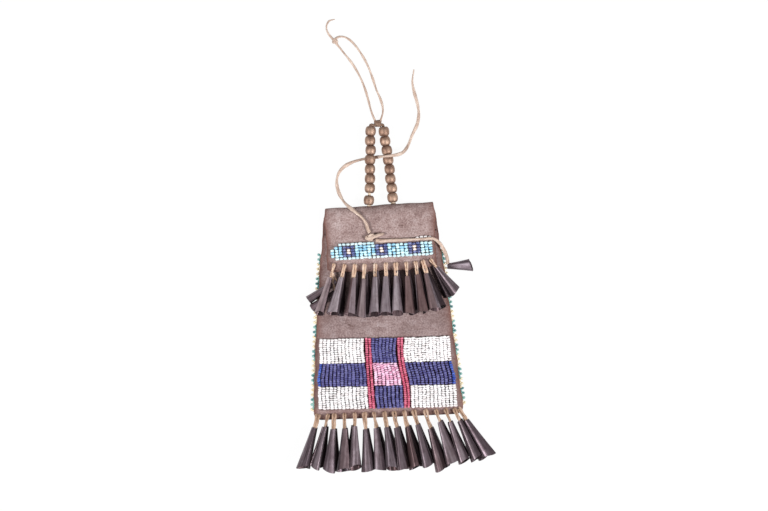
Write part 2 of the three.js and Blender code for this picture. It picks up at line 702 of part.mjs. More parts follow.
place(["closing_thong_free", cord(CLOSING_FREE_ROUTE, CLOSING_RADIUS), thongHide]);
place(["closing_thong_run", cord(CLOSING_RUN_ROUTE, CLOSING_RADIUS), thongHide]);
place(["closing_cone", closingCone(), tin]);
tinklerRow("hem_tinkler", HEM_TINKLERS, HEM_CONE_PITCH, HEM_FAN_SHIFT, hemHole,
  HEM_CONE_LENGTH, HEM_HOLE_INSET, onTable).forEach(place);
tinklerRow("flap_tinkler", FLAP_TINKLERS, FLAP_CONE_PITCH, FLAP_FAN_SHIFT, flapHole,
  FLAP_CONE_LENGTH, FLAP_HOLE_INSET, onFront).forEach(place);

export default bag;
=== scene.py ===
# %% [markdown]
# # Dressing a strike-a-light bag
# The bag is a flat hide pouch that lies on its back: a folded flap, lanes of glass seed beads, two
# fringes of rolled tin cones, a strap of brass beads and a few long thongs. The solids that carry all
# of this are already made. This lesson loads them, keeps their places, and replaces each plain solid
# with a piece that looks like the real thing.

# %% Load the frame
import json
import math
import random

import bmesh
import bpy
import numpy as np
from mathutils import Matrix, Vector


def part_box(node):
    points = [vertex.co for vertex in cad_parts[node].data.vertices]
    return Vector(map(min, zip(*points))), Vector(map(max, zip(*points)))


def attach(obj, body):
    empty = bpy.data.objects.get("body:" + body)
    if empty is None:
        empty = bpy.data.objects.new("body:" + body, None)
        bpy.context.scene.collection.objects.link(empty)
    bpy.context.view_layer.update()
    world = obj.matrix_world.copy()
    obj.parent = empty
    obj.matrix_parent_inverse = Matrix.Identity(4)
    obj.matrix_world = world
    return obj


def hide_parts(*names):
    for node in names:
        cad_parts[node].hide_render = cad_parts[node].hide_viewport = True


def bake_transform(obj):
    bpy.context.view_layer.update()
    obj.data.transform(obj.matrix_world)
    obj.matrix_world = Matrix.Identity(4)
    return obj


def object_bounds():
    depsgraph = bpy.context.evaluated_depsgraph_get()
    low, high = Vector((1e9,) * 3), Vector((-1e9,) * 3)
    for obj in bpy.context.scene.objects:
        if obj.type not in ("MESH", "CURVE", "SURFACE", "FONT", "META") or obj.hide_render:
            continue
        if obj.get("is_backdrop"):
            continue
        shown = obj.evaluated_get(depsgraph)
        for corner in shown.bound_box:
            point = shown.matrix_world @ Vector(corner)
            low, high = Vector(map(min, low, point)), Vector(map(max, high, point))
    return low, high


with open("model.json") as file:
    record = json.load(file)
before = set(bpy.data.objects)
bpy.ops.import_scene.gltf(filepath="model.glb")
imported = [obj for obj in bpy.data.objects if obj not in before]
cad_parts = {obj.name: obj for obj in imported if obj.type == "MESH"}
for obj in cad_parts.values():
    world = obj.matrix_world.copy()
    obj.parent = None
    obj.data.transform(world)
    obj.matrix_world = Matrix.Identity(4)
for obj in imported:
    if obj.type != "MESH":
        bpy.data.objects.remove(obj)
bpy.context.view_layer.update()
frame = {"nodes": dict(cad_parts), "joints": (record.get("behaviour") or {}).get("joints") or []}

MM = 0.001
joint_places = {joint["child"]: np.array(joint["pos_m"]) for joint in frame["joints"]}

# %% [markdown]
# ## The camera
# The photograph looks straight down on the bag, which lies turned a little to one side. One pixel is
# 0.6 mm at the bag, so a camera at a fixed height with a long lens gives the same frame. A long lens
# also keeps the fringe from leaning outwards at the picture's edges.

# %% Camera
IMAGE_WIDTH_PX = 768
PIXEL = 0.6 * MM
TILT = math.radians(2.6)
LOOK_AT = Vector((1.52, 33.42, 6)) * MM
LENS = 110
SENSOR = 36

camera_data = bpy.data.cameras.new("camera")
camera_data.lens = LENS
camera_data.sensor_width = SENSOR
camera = bpy.data.objects.new("camera", camera_data)
camera_height = IMAGE_WIDTH_PX * PIXEL * LENS / SENSOR
camera.location = LOOK_AT + Vector((0, 0, camera_height))
camera.rotation_euler = (0, 0, -TILT)
bpy.context.scene.collection.objects.link(camera)
bpy.context.scene.camera = camera
print("camera height", round(camera_height, 3), "m")

# %% [markdown]
# ## Helpers for meshes
# Nearly every piece here is a skin over rows of points, so two helpers do most of the work: one turns
# a grid of points into quads, the other makes an object from points and faces. Random numbers come
# from seeded generators, so each run gives the same bag.

# %% Mesh helpers
def grid_faces(rows, columns, first=0, close_rows=False, close_columns=False):
    """Quads over a grid of points that are numbered row by row."""
    faces = []
    for r in range(rows if close_rows else rows - 1):
        for c in range(columns if close_columns else columns - 1):
            r2 = (r + 1) % rows
            c2 = (c + 1) % columns
            corners = (r * columns + c, r * columns + c2, r2 * columns + c2, r2 * columns + c)
            faces.append(tuple(first + i for i in corners))
    return faces


def make_piece(name, points, faces, materials, face_materials=None, crease=None):
    """A smooth mesh object with outward faces. Edges sharper than crease, in degrees, stay sharp."""
    mesh = bpy.data.meshes.new(name)
    mesh.from_pydata([tuple(p) for p in points], [], faces)
    for material in materials:
        mesh.materials.append(material)
    if face_materials is not None:
        mesh.polygons.foreach_set("material_index", np.array(face_materials, np.int32))
    tidy = bmesh.new()
    tidy.from_mesh(mesh)
    bmesh.ops.recalc_face_normals(tidy, faces=tidy.faces)
    tidy.to_mesh(mesh)
    tidy.free()
    mesh.shade_smooth()
    if crease:
        mesh.set_sharp_from_angle(angle=math.radians(crease))
    piece = bpy.data.objects.new(name, mesh)
    bpy.context.scene.collection.objects.link(piece)
    return piece


def paint_map(piece, name, values):
    """A UV map from one pair of numbers per vertex."""
    layer = piece.data.uv_layers.new(name=name)
    corner_vertices = np.zeros(len(piece.data.loops), np.int32)
    piece.data.loops.foreach_get("vertex_index", corner_vertices)
    layer.data.foreach_set("uv", np.asarray(values, np.float32)[corner_vertices].ravel())


def paint_value(piece, name, values):
    """A number per vertex that a material can read."""
    attribute = piece.data.attributes.new(name, "FLOAT", "POINT")
    attribute.data.foreach_set("value", np.asarray(values, np.float32))


def unit(v):
    return v / np.linalg.norm(v)


def unit_rows(v):
    return v / np.linalg.norm(v, axis=1)[:, None]


# %% [markdown]
# ## Helpers for materials
# Each finish is a Principled shader with a few noise textures in front of it. The colours were judged
# on the photograph as screen colours from 0 to 255, so one helper turns those into the linear values
# that Blender works with. A finish that is the same all over is set on the shader's own socket.

# %% Material helpers
def colour(red, green, blue):
    """A screen colour as Blender's linear colour."""
    def linear(c):
        c = c / 255
        return c / 12.92 if c <= 0.04045 else ((c + 0.055) / 1.055) ** 2.4
    return (linear(red), linear(green), linear(blue), 1)


def stops_at(places, tones):
    """A ramp's stops, from its places and their screen colours."""
    return [(place, colour(*tone)) for place, tone in zip(places, tones)]


def set_inputs(tree, node, values):
    """Sets a node's inputs, each to a plain value or to what another node gives."""
    for key, value in values.items():
        if isinstance(value, bpy.types.NodeSocket):
            tree.links.new(value, node.inputs[key])
        else:
            node.inputs[key].default_value = value


def add_node(tree, kind, inputs=None):
    node = tree.nodes.new("ShaderNode" + kind)
    set_inputs(tree, node, inputs or {})
    return node


def start_material(name, inputs):
    material = bpy.data.materials.new(name)
    material.use_nodes = True
    tree = material.node_tree
    shader = tree.nodes["Principled BSDF"]
    set_inputs(tree, shader, inputs)
    return material, tree, shader


def scaled(tree, coordinate, scale):
    return add_node(tree, "Mapping", {"Vector": coordinate, "Scale": scale}).outputs["Vector"]


def uv_coordinate(tree, name, scale=(1, 1, 1)):
    source = add_node(tree, "UVMap")
    source.uv_map = name
    return scaled(tree, source.outputs["UV"], scale)


def object_coordinate(tree, scale=(1, 1, 1)):
    return scaled(tree, add_node(tree, "TexCoord").outputs["Object"], scale)


def vertex_value(tree, name):
    """The number that paint_value gave to each vertex."""
    source = add_node(tree, "Attribute")
    source.attribute_name = name
    return source.outputs["Fac"]


def island_value(tree):
    """A random number for each loose part of a mesh, such as one bead or one cone."""
    return add_node(tree, "NewGeometry").outputs["Random Per Island"]


def noise(tree, coordinate, scale, detail, rough=0.55):
    inputs = {"Vector": coordinate, "Scale": scale, "Detail": detail, "Roughness": rough}
    return add_node(tree, "TexNoise", inputs).outputs["Fac"]


def ramp(tree, factor, stops):
    node = add_node(tree, "ValToRGB", {"Fac": factor})
    elements = node.color_ramp.elements
    while len(elements) < len(stops):
        elements.new(0.5)
    for element, (place, shade) in zip(elements, stops):
        element.position = place
        element.color = shade
    return node.outputs["Color"]


def mix(tree, factor, first, second, blend="MIX"):
    node = add_node(tree, "Mix")
    node.data_type = "RGBA"
    node.blend_type = blend
    set_inputs(tree, node, {0: factor, 6: first, 7: second})
    return node.outputs[2]


def darken(tree, shade, strength, value, stops):
    """Multiplies a shade by a ramp over a value."""
    return mix(tree, strength, shade, ramp(tree, value, stops), "MULTIPLY")


def bump(tree, shader, layers):
    """Adds bumps to a shader. Each layer is a height socket, a strength and a depth in metres."""
    below = {}
    for height, strength, depth in layers:
        node = add_node(tree, "Bump", {"Height": height, "Strength": strength, "Distance": depth, **below})
        below = {"Normal": node.outputs["Normal"]}
    set_inputs(tree, shader, below)


BLACK = (0, 0, 0, 1)
WHITE = (1, 1, 1, 1)

# %% [markdown]
# ## Floor and light
# The photograph has a white ground with hardly a shadow. The floor is a pale diffuse sheet, and rays
# from the camera see it mixed with plain white, so the ground is white while a soft shadow stays.
# The bag lies as on a copy stand: one soft lamp on each side, and an even, weaker sky. The lamps draw
# bright bands along the tin, and the weaker sky leaves the metal dark between them.

# %% Floor, sky and lamps
FLOOR_SIZE = 40
FLOOR_DROP = 0.05 * MM
FLOOR_GREY = (0.9, 0.9, 0.9, 1)
FLOOR_GLOW = 1.02
FLOOR_WHITE_SHARE = 0.93
SKY_STRENGTH = 0.24
LAMP_SIZE = 0.4
LAMP_TARGET = Vector((0, 0.03, 0))


def lit_ray(tree):
    """1 for rays that come from the camera, a mirror or glass, and 0 for light that lights things."""
    path = add_node(tree, "LightPath")
    total = path.outputs["Is Camera Ray"]
    for kind in ("Is Glossy Ray", "Is Transmission Ray"):
        larger = add_node(tree, "Math", {0: total, 1: path.outputs[kind]})
        larger.operation = "MAXIMUM"
        total = larger.outputs[0]
    return total


def white_floor():
    inputs = {"Base Color": FLOOR_GREY, "Roughness": 0.9, "Specular IOR Level": 0}
    material, tree, shader = start_material("white_floor", inputs)
    glow = add_node(tree, "Emission", {"Color": WHITE, "Strength": FLOOR_GLOW})
    share = add_node(tree, "Math", {0: lit_ray(tree), 1: FLOOR_WHITE_SHARE})
    share.operation = "MULTIPLY"
    blend = add_node(tree, "MixShader", {0: share.outputs[0], 1: shader.outputs[0], 2: glow.outputs[0]})
    set_inputs(tree, tree.nodes["Material Output"], {"Surface": blend.outputs[0]})
    return material


half = FLOOR_SIZE / 2
corners = [(x * half, y * half, -FLOOR_DROP) for x, y in ((-1, -1), (1, -1), (1, 1), (-1, 1))]
floor = make_piece("floor", corners, [(0, 1, 2, 3)], [white_floor()])
floor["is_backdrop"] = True

world = bpy.data.worlds.new("sky")
bpy.context.scene.world = world
world.use_nodes = True
sky = world.node_tree.nodes["Background"]
sky.inputs["Color"].default_value = WHITE
sky.inputs["Strength"].default_value = SKY_STRENGTH


def lamp(name, place, power):
    data = bpy.data.lights.new(name, "AREA")
    data.shape = "DISK"
    data.size = LAMP_SIZE
    data.energy = power
    light = bpy.data.objects.new(name, data)
    light.location = place
    aim = LAMP_TARGET - light.location
    light.rotation_euler = aim.to_track_quat("-Z", "Y").to_euler()
    bpy.context.scene.collection.objects.link(light)


lamp("right_lamp", Vector((0.8, -0.3, 0.9)), 12.5)
lamp("left_lamp", Vector((-0.85, -0.2, 0.9)), 11)
bpy.context.scene.view_settings.view_transform = "Standard"
print("floor and two lamps")

# %% [markdown]
# ## Thong hide
# All the thongs are cut from tanned hide, tan with paler, fuzzy stretches and darker handled ones. They
# didn't age alike: the strap is palest, since its beads cover it, the binding is dark, and each fringe
# has a tan of its own. So one function makes the hides from three tones each. Long thin noise stands
# for the fibres. The map that it follows runs along each thong, so that the fibres turn with it.

# %% Thong hide material
def thong_material(name, *tones):
    """Thong hide in three tones, from its dark patches to its pale ones."""
    material, tree, shader = start_material(name, {"Roughness": 0.82, "Specular IOR Level": 0.2})
    fibres = noise(tree, uv_coordinate(tree, "thong_map", (9, 1.2, 1)), 2.2, 5, 0.65)
    patches = noise(tree, uv_coordinate(tree, "thong_map"), 1.3, 4, 0.6)
    shade = ramp(tree, patches, stops_at((0.3, 0.5, 0.7), tones))
    shade = darken(tree, shade, 0.75, fibres, [(0.3, colour(176, 160, 150)), (0.65, WHITE)])
    set_inputs(tree, shader, {"Base Color": shade})
    bump(tree, shader, [(fibres, 0.5, 0.25 * MM), (patches, 0.3, 0.3 * MM)])
    return material


tie_hide = thong_material("tie_hide", (174, 147, 133), (222, 198, 183), (246, 228, 214))
binding_hide = thong_material("binding_hide", (112, 88, 74), (148, 122, 106), (184, 158, 140))
hem_strip_hide = thong_material("hem_strip_hide", (146, 117, 98), (202, 172, 150), (238, 214, 196))
flap_strip_hide = thong_material("flap_strip_hide", (186, 148, 126), (240, 208, 184), (255, 240, 226))
strap_hide = thong_material("strap_hide", (214, 190, 166), (244, 226, 204), (255, 246, 230))
print("five thong hides made")

# %% [markdown]
# ## Free thongs
# Four thongs lie free. Each follows the same listed points as its solid, on one smooth curve. The
# tie's two runs start a little sooner, inside the binding that holds them, and the outer one goes into
# the knot. A hide thong isn't round: it is a narrow strip, a little flat, that twists as it goes. So
# the tube has an oval section that turns slowly along the way, and a bare end runs out to a point.

# %% Thong tubes
TIE_WIDTH = 1.4 * MM
CLOSING_WIDTH = 2.0 * MM
OVAL = (1.08, 0.78)
ROUTE_STEP = 0.9 * MM
WIDTH_WAVER = 0.05
TIE_OUTER_ROUTE = [
    (2.6, 112.6, 3.3), (3.2, 114.8, 3.1), (4, 117, 2.7), (4.7, 119.4, 2), (4.8, 122.6, 1.4),
    (3.6, 127.8, 0.8), (1.5, 133.2, 0.8),
    (-0.8, 141.4, 0.8), (-3.7, 149.6, 0.8), (-8.2, 157.9, 0.8), (-12.7, 163.6, 0.8),
    (-16.6, 166, 0.9), (-19.4, 166.2, 1.2), (-21.4, 165.3, 1.6), (-22.2, 164, 1.7),
]
TIE_INNER_ROUTE = [
    (0.4, 112.9, 3.3), (-0.3, 114.8, 3.1), (-1.1, 117, 2.7), (-1.9, 119.4, 2), (-2.7, 122.5, 1.4),
    (-3.7, 127.4, 0.8),
    (-5.5, 134.6, 0.8), (-7.9, 141.2, 0.8), (-11.8, 148.9, 0.8), (-16.9, 156.1, 0.8),
    (-20.3, 160.8, 1.1), (-22.2, 163.4, 1.7), (-24.2, 166, 1.2), (-26.2, 169, 0.8),
    (-26.9, 172.6, 0.8), (-25.2, 175.9, 0.8), (-21.6, 176.9, 0.8),
]
CLOSING_FREE_ROUTE = [
    (-6.4, 47.3, 11.9), (-7.4, 49.6, 11.9), (-8.4, 53, 11.9), (-10.9, 57, 11.8), (-15, 60.7, 11),
    (-19.4, 64.7, 7.2), (-22.2, 68.6, 2.3), (-24.2, 73.4, 1.1), (-24.9, 79.2, 1.1),
    (-23.5, 84.1, 1.1), (-20.4, 87.6, 1.1), (-15.2, 90.3, 1.1), (-9.3, 91.8, 1.1), (-5, 92.3, 1.1),
    (-3, 92.5, 1.25), (-1.3, 92.6, 1.95), (0.2, 92.7, 3.2), (1.5, 92.7, 4.9), (2.9, 92.8, 6.6),
    (4.6, 92.8, 7.7), (7, 92.9, 8.1), (9.6, 93.1, 7.8), (12.8, 93.6, 6.2), (15.9, 95, 3.9),
    (18.9, 98.8, 1.5), (21.8, 105.2, 1.1), (25.1, 111.6, 1.1), (26.3, 118.1, 1.1),
    (25.6, 124.5, 1.1), (24.2, 130.6, 1.1), (23.3, 136.9, 1.1), (24.6, 144.6, 1.1),
]
CLOSING_RUN_ROUTE = [
    (-3, 42.7, 12), (0, 42.3, 11.9), (5, 42.3, 11.9), (10, 42.3, 11.8), (17.8, 42.3, 11.3),
    (25.5, 42.3, 10.1), (31.5, 42.1, 8.8), (35.4, 39.1, 7), (38, 34.2, 5), (39.5, 29.6, 2.8),
    (39.6, 26.6, 1.9),
]


def between(start, end, start_time, end_time, time):
    """The place at a time, on the way from start to end."""
    return ((end_time - time) * start + (time - start_time) * end) / (end_time - start_time)


def smooth_route(points, spacing):
    """A centripetal Catmull-Rom curve through points in millimetres, as points in metres."""
    p = np.array(points, float) * MM
    p = np.vstack([2 * p[0] - p[1], p, 2 * p[-1] - p[-2]])
    out = []
    for p0, p1, p2, p3 in zip(p, p[1:], p[2:], p[3:]):
        t1 = math.sqrt(np.linalg.norm(p1 - p0))
        t2 = t1 + math.sqrt(np.linalg.norm(p2 - p1))
        t3 = t2 + math.sqrt(np.linalg.norm(p3 - p2))
        steps = max(2, math.ceil(np.linalg.norm(p2 - p1) / spacing))
        for t in np.linspace(t1, t2, steps, endpoint=False):
            a1 = between(p0, p1, 0, t1, t)
            a2 = between(p1, p2, t1, t2, t)
            a3 = between(p2, p3, t2, t3, t)
            out.append(between(between(a1, a2, 0, t2, t), between(a2, a3, t1, t3, t), t1, t2, t))
    out.append(p[-2])
    return np.array(out)


def distance_along(path):
    return np.concatenate([[0], np.cumsum(np.linalg.norm(np.diff(path, axis=0), axis=1))])


EVEN = ((0, 1), (1, 1))
BARE_END = ((0, 1), (0.86, 1), (0.95, 0.75), (1, 0.3))
STUB_END = ((0, 0.8), (0.3, 1), (0.85, 1), (0.96, 0.85), (1, 0.5))


def strip_shape(path, width, thickness, twist=0.0, widths=EVEN, closed=False, sides=10, *, seed):
    """A strip of hide along a path, as points, faces and a map. Its oval section makes twist turns on
    the way, and widths lists what is left of the width, as pairs of (share of the way, share left)."""
    tangents = unit_rows(np.gradient(path, axis=0))
    side = np.cross(tangents[0], (0.03, 0.02, 1))
    along = distance_along(path)
    share = along / along[-1]
    scale = np.interp(share, [w[0] for w in widths], [w[1] for w in widths])
    scale = scale * (1 + WIDTH_WAVER * (np.sin(along * 900 + seed) + np.sin(along * 390 + 2 * seed)))
    angles = np.arange(sides) / sides * math.tau
    points = []
    chart = []
    for i, tangent in enumerate(tangents):
        side = unit(side - tangent * np.dot(side, tangent))
        up = np.cross(side, tangent)
        turn = twist * math.tau * share[i]
        wide = side * math.cos(turn) + up * math.sin(turn)
        thin = up * math.cos(turn) - side * math.sin(turn)
        for k, angle in enumerate(angles):
            offset = wide * math.cos(angle) * width + thin * math.sin(angle) * thickness
            points.append(path[i] + offset * 0.5 * scale[i])
            chart.append((abs(k / sides - 0.5), along[i] * 100 + seed))
    rows = len(path)
    faces = grid_faces(rows, sides, close_rows=closed, close_columns=True)
    if not closed:
        faces.append(tuple(range(sides)))
        faces.append(tuple(range((rows - 1) * sides, rows * sides)))
    return np.array(points), faces, np.array(chart)


def join_shapes(shapes):
    """Several shapes, each as points, faces and a map, as one."""
    points, faces, charts = [], [], []
    count = 0
    for shape_points, shape_faces, chart in shapes:
        points.append(shape_points)
        faces += [tuple(count + i for i in face) for face in shape_faces]
        charts.append(chart)
        count += len(shape_points)
    return np.vstack(points), faces, np.vstack(charts)


def thong_piece(name, shapes, material):
    points, faces, chart = join_shapes(shapes)
    piece = make_piece(name, points, faces, [material], crease=60)
    paint_map(piece, "thong_map", chart)
    return piece


def free_thong(name, route, width, widths, twist, seed):
    path = smooth_route(route, ROUTE_STEP)
    shape = strip_shape(path, width * OVAL[0], width * OVAL[1], twist, widths, sides=12, seed=seed)
    piece = thong_piece(name, [shape], tie_hide)
    print(name, "is", round(distance_along(path)[-1] * 1000, 1), "mm long")
    return piece, path


tie_outer, tie_outer_path = free_thong("tie_outer_strip", TIE_OUTER_ROUTE, TIE_WIDTH, EVEN, 2.5, 1)
tie_inner, tie_inner_path = free_thong("tie_inner_strip", TIE_INNER_ROUTE, TIE_WIDTH, BARE_END, 2, 2)
closing_free, closing_free_path = free_thong(
    "closing_free_strip", CLOSING_FREE_ROUTE, CLOSING_WIDTH, BARE_END, 4, 3)
closing_run, closing_run_path = free_thong(
    "closing_run_strip", CLOSING_RUN_ROUTE, CLOSING_WIDTH, EVEN, 0.5, 4)

# %% [markdown]
# ## Knots
# Two knots hold the thongs: one draws the tie's loop together, and one sits on the flap, where the
# closing thong comes through the hide and leaves a short stub. An overhand knot is a trefoil, so each
# knot is a tube along a trefoil curve, squeezed to about the size of its solid.

# %% Knots
TIE_KNOT_SIZE = (1.5 * MM, 1.4 * MM, 0.75 * MM)
CLOSING_KNOT_SIZE = (2.3 * MM, 1.6 * MM, 0.5 * MM)
CLOSING_KNOT_PLACE = np.array((-6.4, 44.6, 0)) * MM
STUB_ROUTE = [(-1.6, -0.9, 0.6), (0.8, -0.2, 1.1), (3, 0.5, 1), (5, 1.1, 0.4), (6.8, 1.6, 0.1), (8.4, 1.9, 0)]


def trefoil(centre, size, turn):
    t = np.linspace(0, math.tau, 64, endpoint=False)
    x = (np.sin(t) + 2 * np.sin(2 * t)) / 3 * size[0]
    y = (np.cos(t) - 2 * np.cos(2 * t)) / 3 * size[1]
    z = -np.sin(3 * t) * size[2]
    c, s = math.cos(turn), math.sin(turn)
    return np.stack([centre[0] + c * x - s * y, centre[1] + s * x + c * y, centre[2] + z], axis=1)


def middle_of(node):
    low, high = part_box(node)
    return np.array((low + high) / 2)


tie_knot = thong_piece("tie_overhand_knot", [strip_shape(
    trefoil(middle_of("tie_knot"), TIE_KNOT_SIZE, 0.9), 1.35 * MM, 1.15 * MM, closed=True, seed=5)], tie_hide)
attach(tie_knot, "pouch")
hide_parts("tie_knot")

knot_place = CLOSING_KNOT_PLACE + np.array((0, 0, middle_of("closing_knot")[2]))
stub_path = smooth_route(knot_place / MM + np.array(STUB_ROUTE), 0.7 * MM)
closing_knot = thong_piece("closing_overhand_knot", [
    strip_shape(trefoil(knot_place, CLOSING_KNOT_SIZE, 0.35), 2.2 * MM, 1.6 * MM, closed=True, seed=6),
    strip_shape(stub_path, 2.6 * MM, 1.7 * MM, 0.2, STUB_END, seed=7),
], tie_hide)
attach(closing_knot, "flap")
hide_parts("closing_knot")

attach(tie_outer, "pouch")
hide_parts("tie_thong_outer")
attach(tie_inner, "pouch")
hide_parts("tie_thong_inner")
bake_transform(closing_free)
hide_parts("closing_thong_free")
print("two knots, and three thongs that end bare or in a knot")

# %% [markdown]
# ## The hide's shape
# The pouch is one piece of smoked hide: up the back, over the top, and down the front as a flap, with
# another fold at the hem for the front. Its front swells a little in the middle. The functions below
# give the height of each face, and a slow ripple that all the layers share, so that the flap still
# lies on the front and the beads still lie on the hide.

# %% Heights of the hide
pouch_low, pouch_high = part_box("pouch")
HEM_Y = pouch_low[1]
FOLD_Y = pouch_high[1]
FOLD_HALF_WIDTH = 32.4 * MM
HEM_HALF_WIDTH = 44.9 * MM
HEM_CORNER = 5 * MM
HEM_ROUNDING = 2.2 * MM
HEM_RISE = 22 * MM
LEFT_BULGE = 1.3 * MM
RIGHT_BULGE = 0.6 * MM
RIPPLE_HEIGHT = 0.16 * MM
LEATHER = 1.6 * MM
EDGE_THICKNESS = 3.6 * MM
MIDDLE_THICKNESS = 8.6 * MM
FLAP_GAP = 0.3 * MM
CROWN = 6.8 * MM
MOUTH = 10 * MM
FLAP_LENGTH = 39.3 * MM
FLAP_CORNER_RISE = 1.8 * MM
HINGE_Y = FOLD_Y - CROWN
MOUTH_Y = HINGE_Y - MOUTH
FLAP_EDGE_Y = FOLD_Y - FLAP_LENGTH


def half_width(y):
    return HEM_HALF_WIDTH + (FOLD_HALF_WIDTH - HEM_HALF_WIDTH) * (y - HEM_Y) / (FOLD_Y - HEM_Y)


def side_bulge(y, side):
    """How far use has pushed a side out beyond its straight line. The left side, -1, has given more."""
    share = np.clip((y - HEM_Y) / (FOLD_Y - HEM_Y), 0, 1)
    return (LEFT_BULGE if side < 0 else RIGHT_BULGE) * np.sin(math.pi * share)


def ripple(x, y):
    slow = np.sin(61 * x + 35 * y + 0.7) + 0.7 * np.sin(97 * y - 43 * x + 2.1)
    quick = np.sin(171 * x + 1.3) * np.sin(143 * y + 0.4)
    return (slow + 0.6 * quick) * RIPPLE_HEIGHT


def front_height(x, y):
    across = np.minimum(np.abs(x) / half_width(y), 1)
    up = np.clip((y - HEM_Y) / HEM_RISE, 0, 1)
    swell = (1 - across ** 3) * (1 - (1 - up) ** 2)
    return EDGE_THICKNESS + (MIDDLE_THICKNESS - EDGE_THICKNESS) * swell + ripple(x, y) * swell


def flap_height(x, y):
    return front_height(x, y) + FLAP_GAP + LEATHER


def flap_edge(x):
    wave = 0.25 * np.sin(310 * x + 1) + 0.2 * np.sin(720 * x)
    return FLAP_EDGE_Y + FLAP_CORNER_RISE * np.abs(x / FOLD_HALF_WIDTH) ** 4 + wave * MM


print("hide from", round(HEM_Y * 1000, 1), "to", round(FOLD_Y * 1000, 1), "mm")

# %% [markdown]
# ## Hide finish
# Smoked hide is matt, with a soft nap. Slow blotches, mottling, short creases and a fine grain give its
# colour. The sewn and folded edges are darker and redder from handling, and the flap's lower edge is
# darkened partly as painted shade. The hide under the beads is painted dark as painted shade, which
# shows as the lines between them. Both are painted on the mesh as numbers that the material reads.
# The flap is rubbed paler than the pouch. The noise follows a flat map of the hide, in tenths of a
# metre, so it stays put when the flap opens.

# %% Hide material
def hide_material(name, *tones):
    """Hide in three tones, from its dark blotches to its pale ones."""
    material, tree, shader = start_material(name, {"Roughness": 0.9, "Specular IOR Level": 0.15})
    place = uv_coordinate(tree, "hide_map")
    blotches = noise(tree, place, 3.2, 5, 0.62)
    mottle = noise(tree, place, 17, 6, 0.72)
    creases = noise(tree, uv_coordinate(tree, "hide_map", (0.4, 1, 1)), 34, 5, 0.68)
    nap = noise(tree, place, 110, 4, 0.65)
    shade = ramp(tree, blotches, stops_at((0.3, 0.5, 0.7), tones))
    shade = darken(tree, shade, 0.75, mottle,
                   [(0.34, colour(188, 168, 164)), (0.5, colour(238, 230, 228)), (0.62, WHITE)])
    shade = darken(tree, shade, 0.7, creases, [(0.3, colour(196, 182, 180)), (0.46, WHITE)])
    shade = darken(tree, shade, 0.9, nap,
                   [(0.34, colour(176, 165, 162)), (0.5, colour(226, 221, 220)), (0.64, WHITE)])
    # Darker, redder edges: handling wear, and along the flap's lower edge also painted shade.
    shade = mix(tree, vertex_value(tree, "wear_and_edge_shade"), shade, colour(120, 84, 76))
    # Painted shade under the beads: the hide between them is darkened where shade falls.
    shade = mix(tree, vertex_value(tree, "bead_gap_shade"), shade, colour(62, 44, 44))
    set_inputs(tree, shader, {"Base Color": shade})
    bump(tree, shader, [(mottle, 0.3, 0.5 * MM), (creases, 0.4, 0.35 * MM), (nap, 0.3, 0.12 * MM)])
    return material


pouch_finish = hide_material("smoked_hide", (149, 131, 130), (176, 159, 159), (192, 176, 176))
flap_finish = hide_material("rubbed_hide", (162, 142, 140), (191, 172, 170), (211, 194, 193))
print("hide finishes made")

# %% [markdown]
# ## Pouch and flap
# Each hide is a sheet with an outer and an inner face, built in rows across the bag. The pouch's rows
# run from the mouth down the front, round the hem and up the back. The flap's rows start where those
# end, under the top fold, and go over it and down to the flap's edge. The fold climbs a little to the
# right, and the sides and the flap's edge waver, as hand-cut hide does.

# %% Pouch and flap hides
COLUMNS = 76
ROWS = {"front": 70, "hem": 11, "back": 40, "under_fold": 5, "crown": 18, "flap": 34}
CROWN_SPLIT = math.radians(-56)
RIM_ROUNDING = 0.4 * MM
WEAR_DEPTH = 2.2 * MM
SIDE_WEAR = 0.95
HEM_WEAR = 0.6
HEM_WEAR_DEPTH = 1.6 * WEAR_DEPTH
HEM_WEAR_START = HEM_Y + 2 * MM
FOLD_CLIMB = 0.02
across = np.sin(np.linspace(-1, 1, COLUMNS) * math.pi / 2)


def edge_wave(y):
    left = 0.22 * np.sin(260 * y + 0.5) + 0.15 * np.sin(610 * y)
    right = 0.22 * np.sin(230 * y + 2.2) + 0.15 * np.sin(570 * y + 1)
    return np.where(across < 0, left, right) * MM


def side_bulges(y):
    return np.where(across < 0, side_bulge(y, -1), side_bulge(y, 1))


def pouch_x(y):
    reach = np.clip(HEM_CORNER - (y - HEM_Y), 0, HEM_CORNER)
    inset = HEM_CORNER - np.sqrt(HEM_CORNER ** 2 - reach ** 2)
    return across * (half_width(y) - inset + edge_wave(y) + side_bulges(y))


def row_points(x, y, z):
    """A row of points. Each of x, y and z is one number, or a number for each column."""
    return np.stack(np.broadcast_arrays(x, y, z), axis=1)


def front_row(y, depth):
    x = pouch_x(y)
    return row_points(x, y, front_height(x, y) - depth)


def hem_row(angle, depth):
    y = HEM_Y + HEM_ROUNDING
    height = front_height(pouch_x(y), y) / 2
    x = pouch_x(y - HEM_ROUNDING * math.cos(angle))
    row_y = y - (HEM_ROUNDING - depth) * math.cos(angle)
    return row_points(x, row_y, height + (height - depth) * math.sin(angle))


def back_row(y, depth):
    return row_points(pouch_x(y), y, depth)


def fold_wave(x):
    """How far the top fold stands up: it climbs to the right and isn't quite straight."""
    return FOLD_CLIMB * x + (0.16 * np.sin(150 * x + 0.4) + 0.1 * np.sin(430 * x)) * MM


def crown_row(angle, depth):
    x = pouch_x(HINGE_Y + CROWN * math.cos(angle))
    y = HINGE_Y + (CROWN - depth + fold_wave(x)) * math.cos(angle)
    height = flap_height(x, HINGE_Y) / 2
    return row_points(x, y, height + (height - depth) * math.sin(angle))


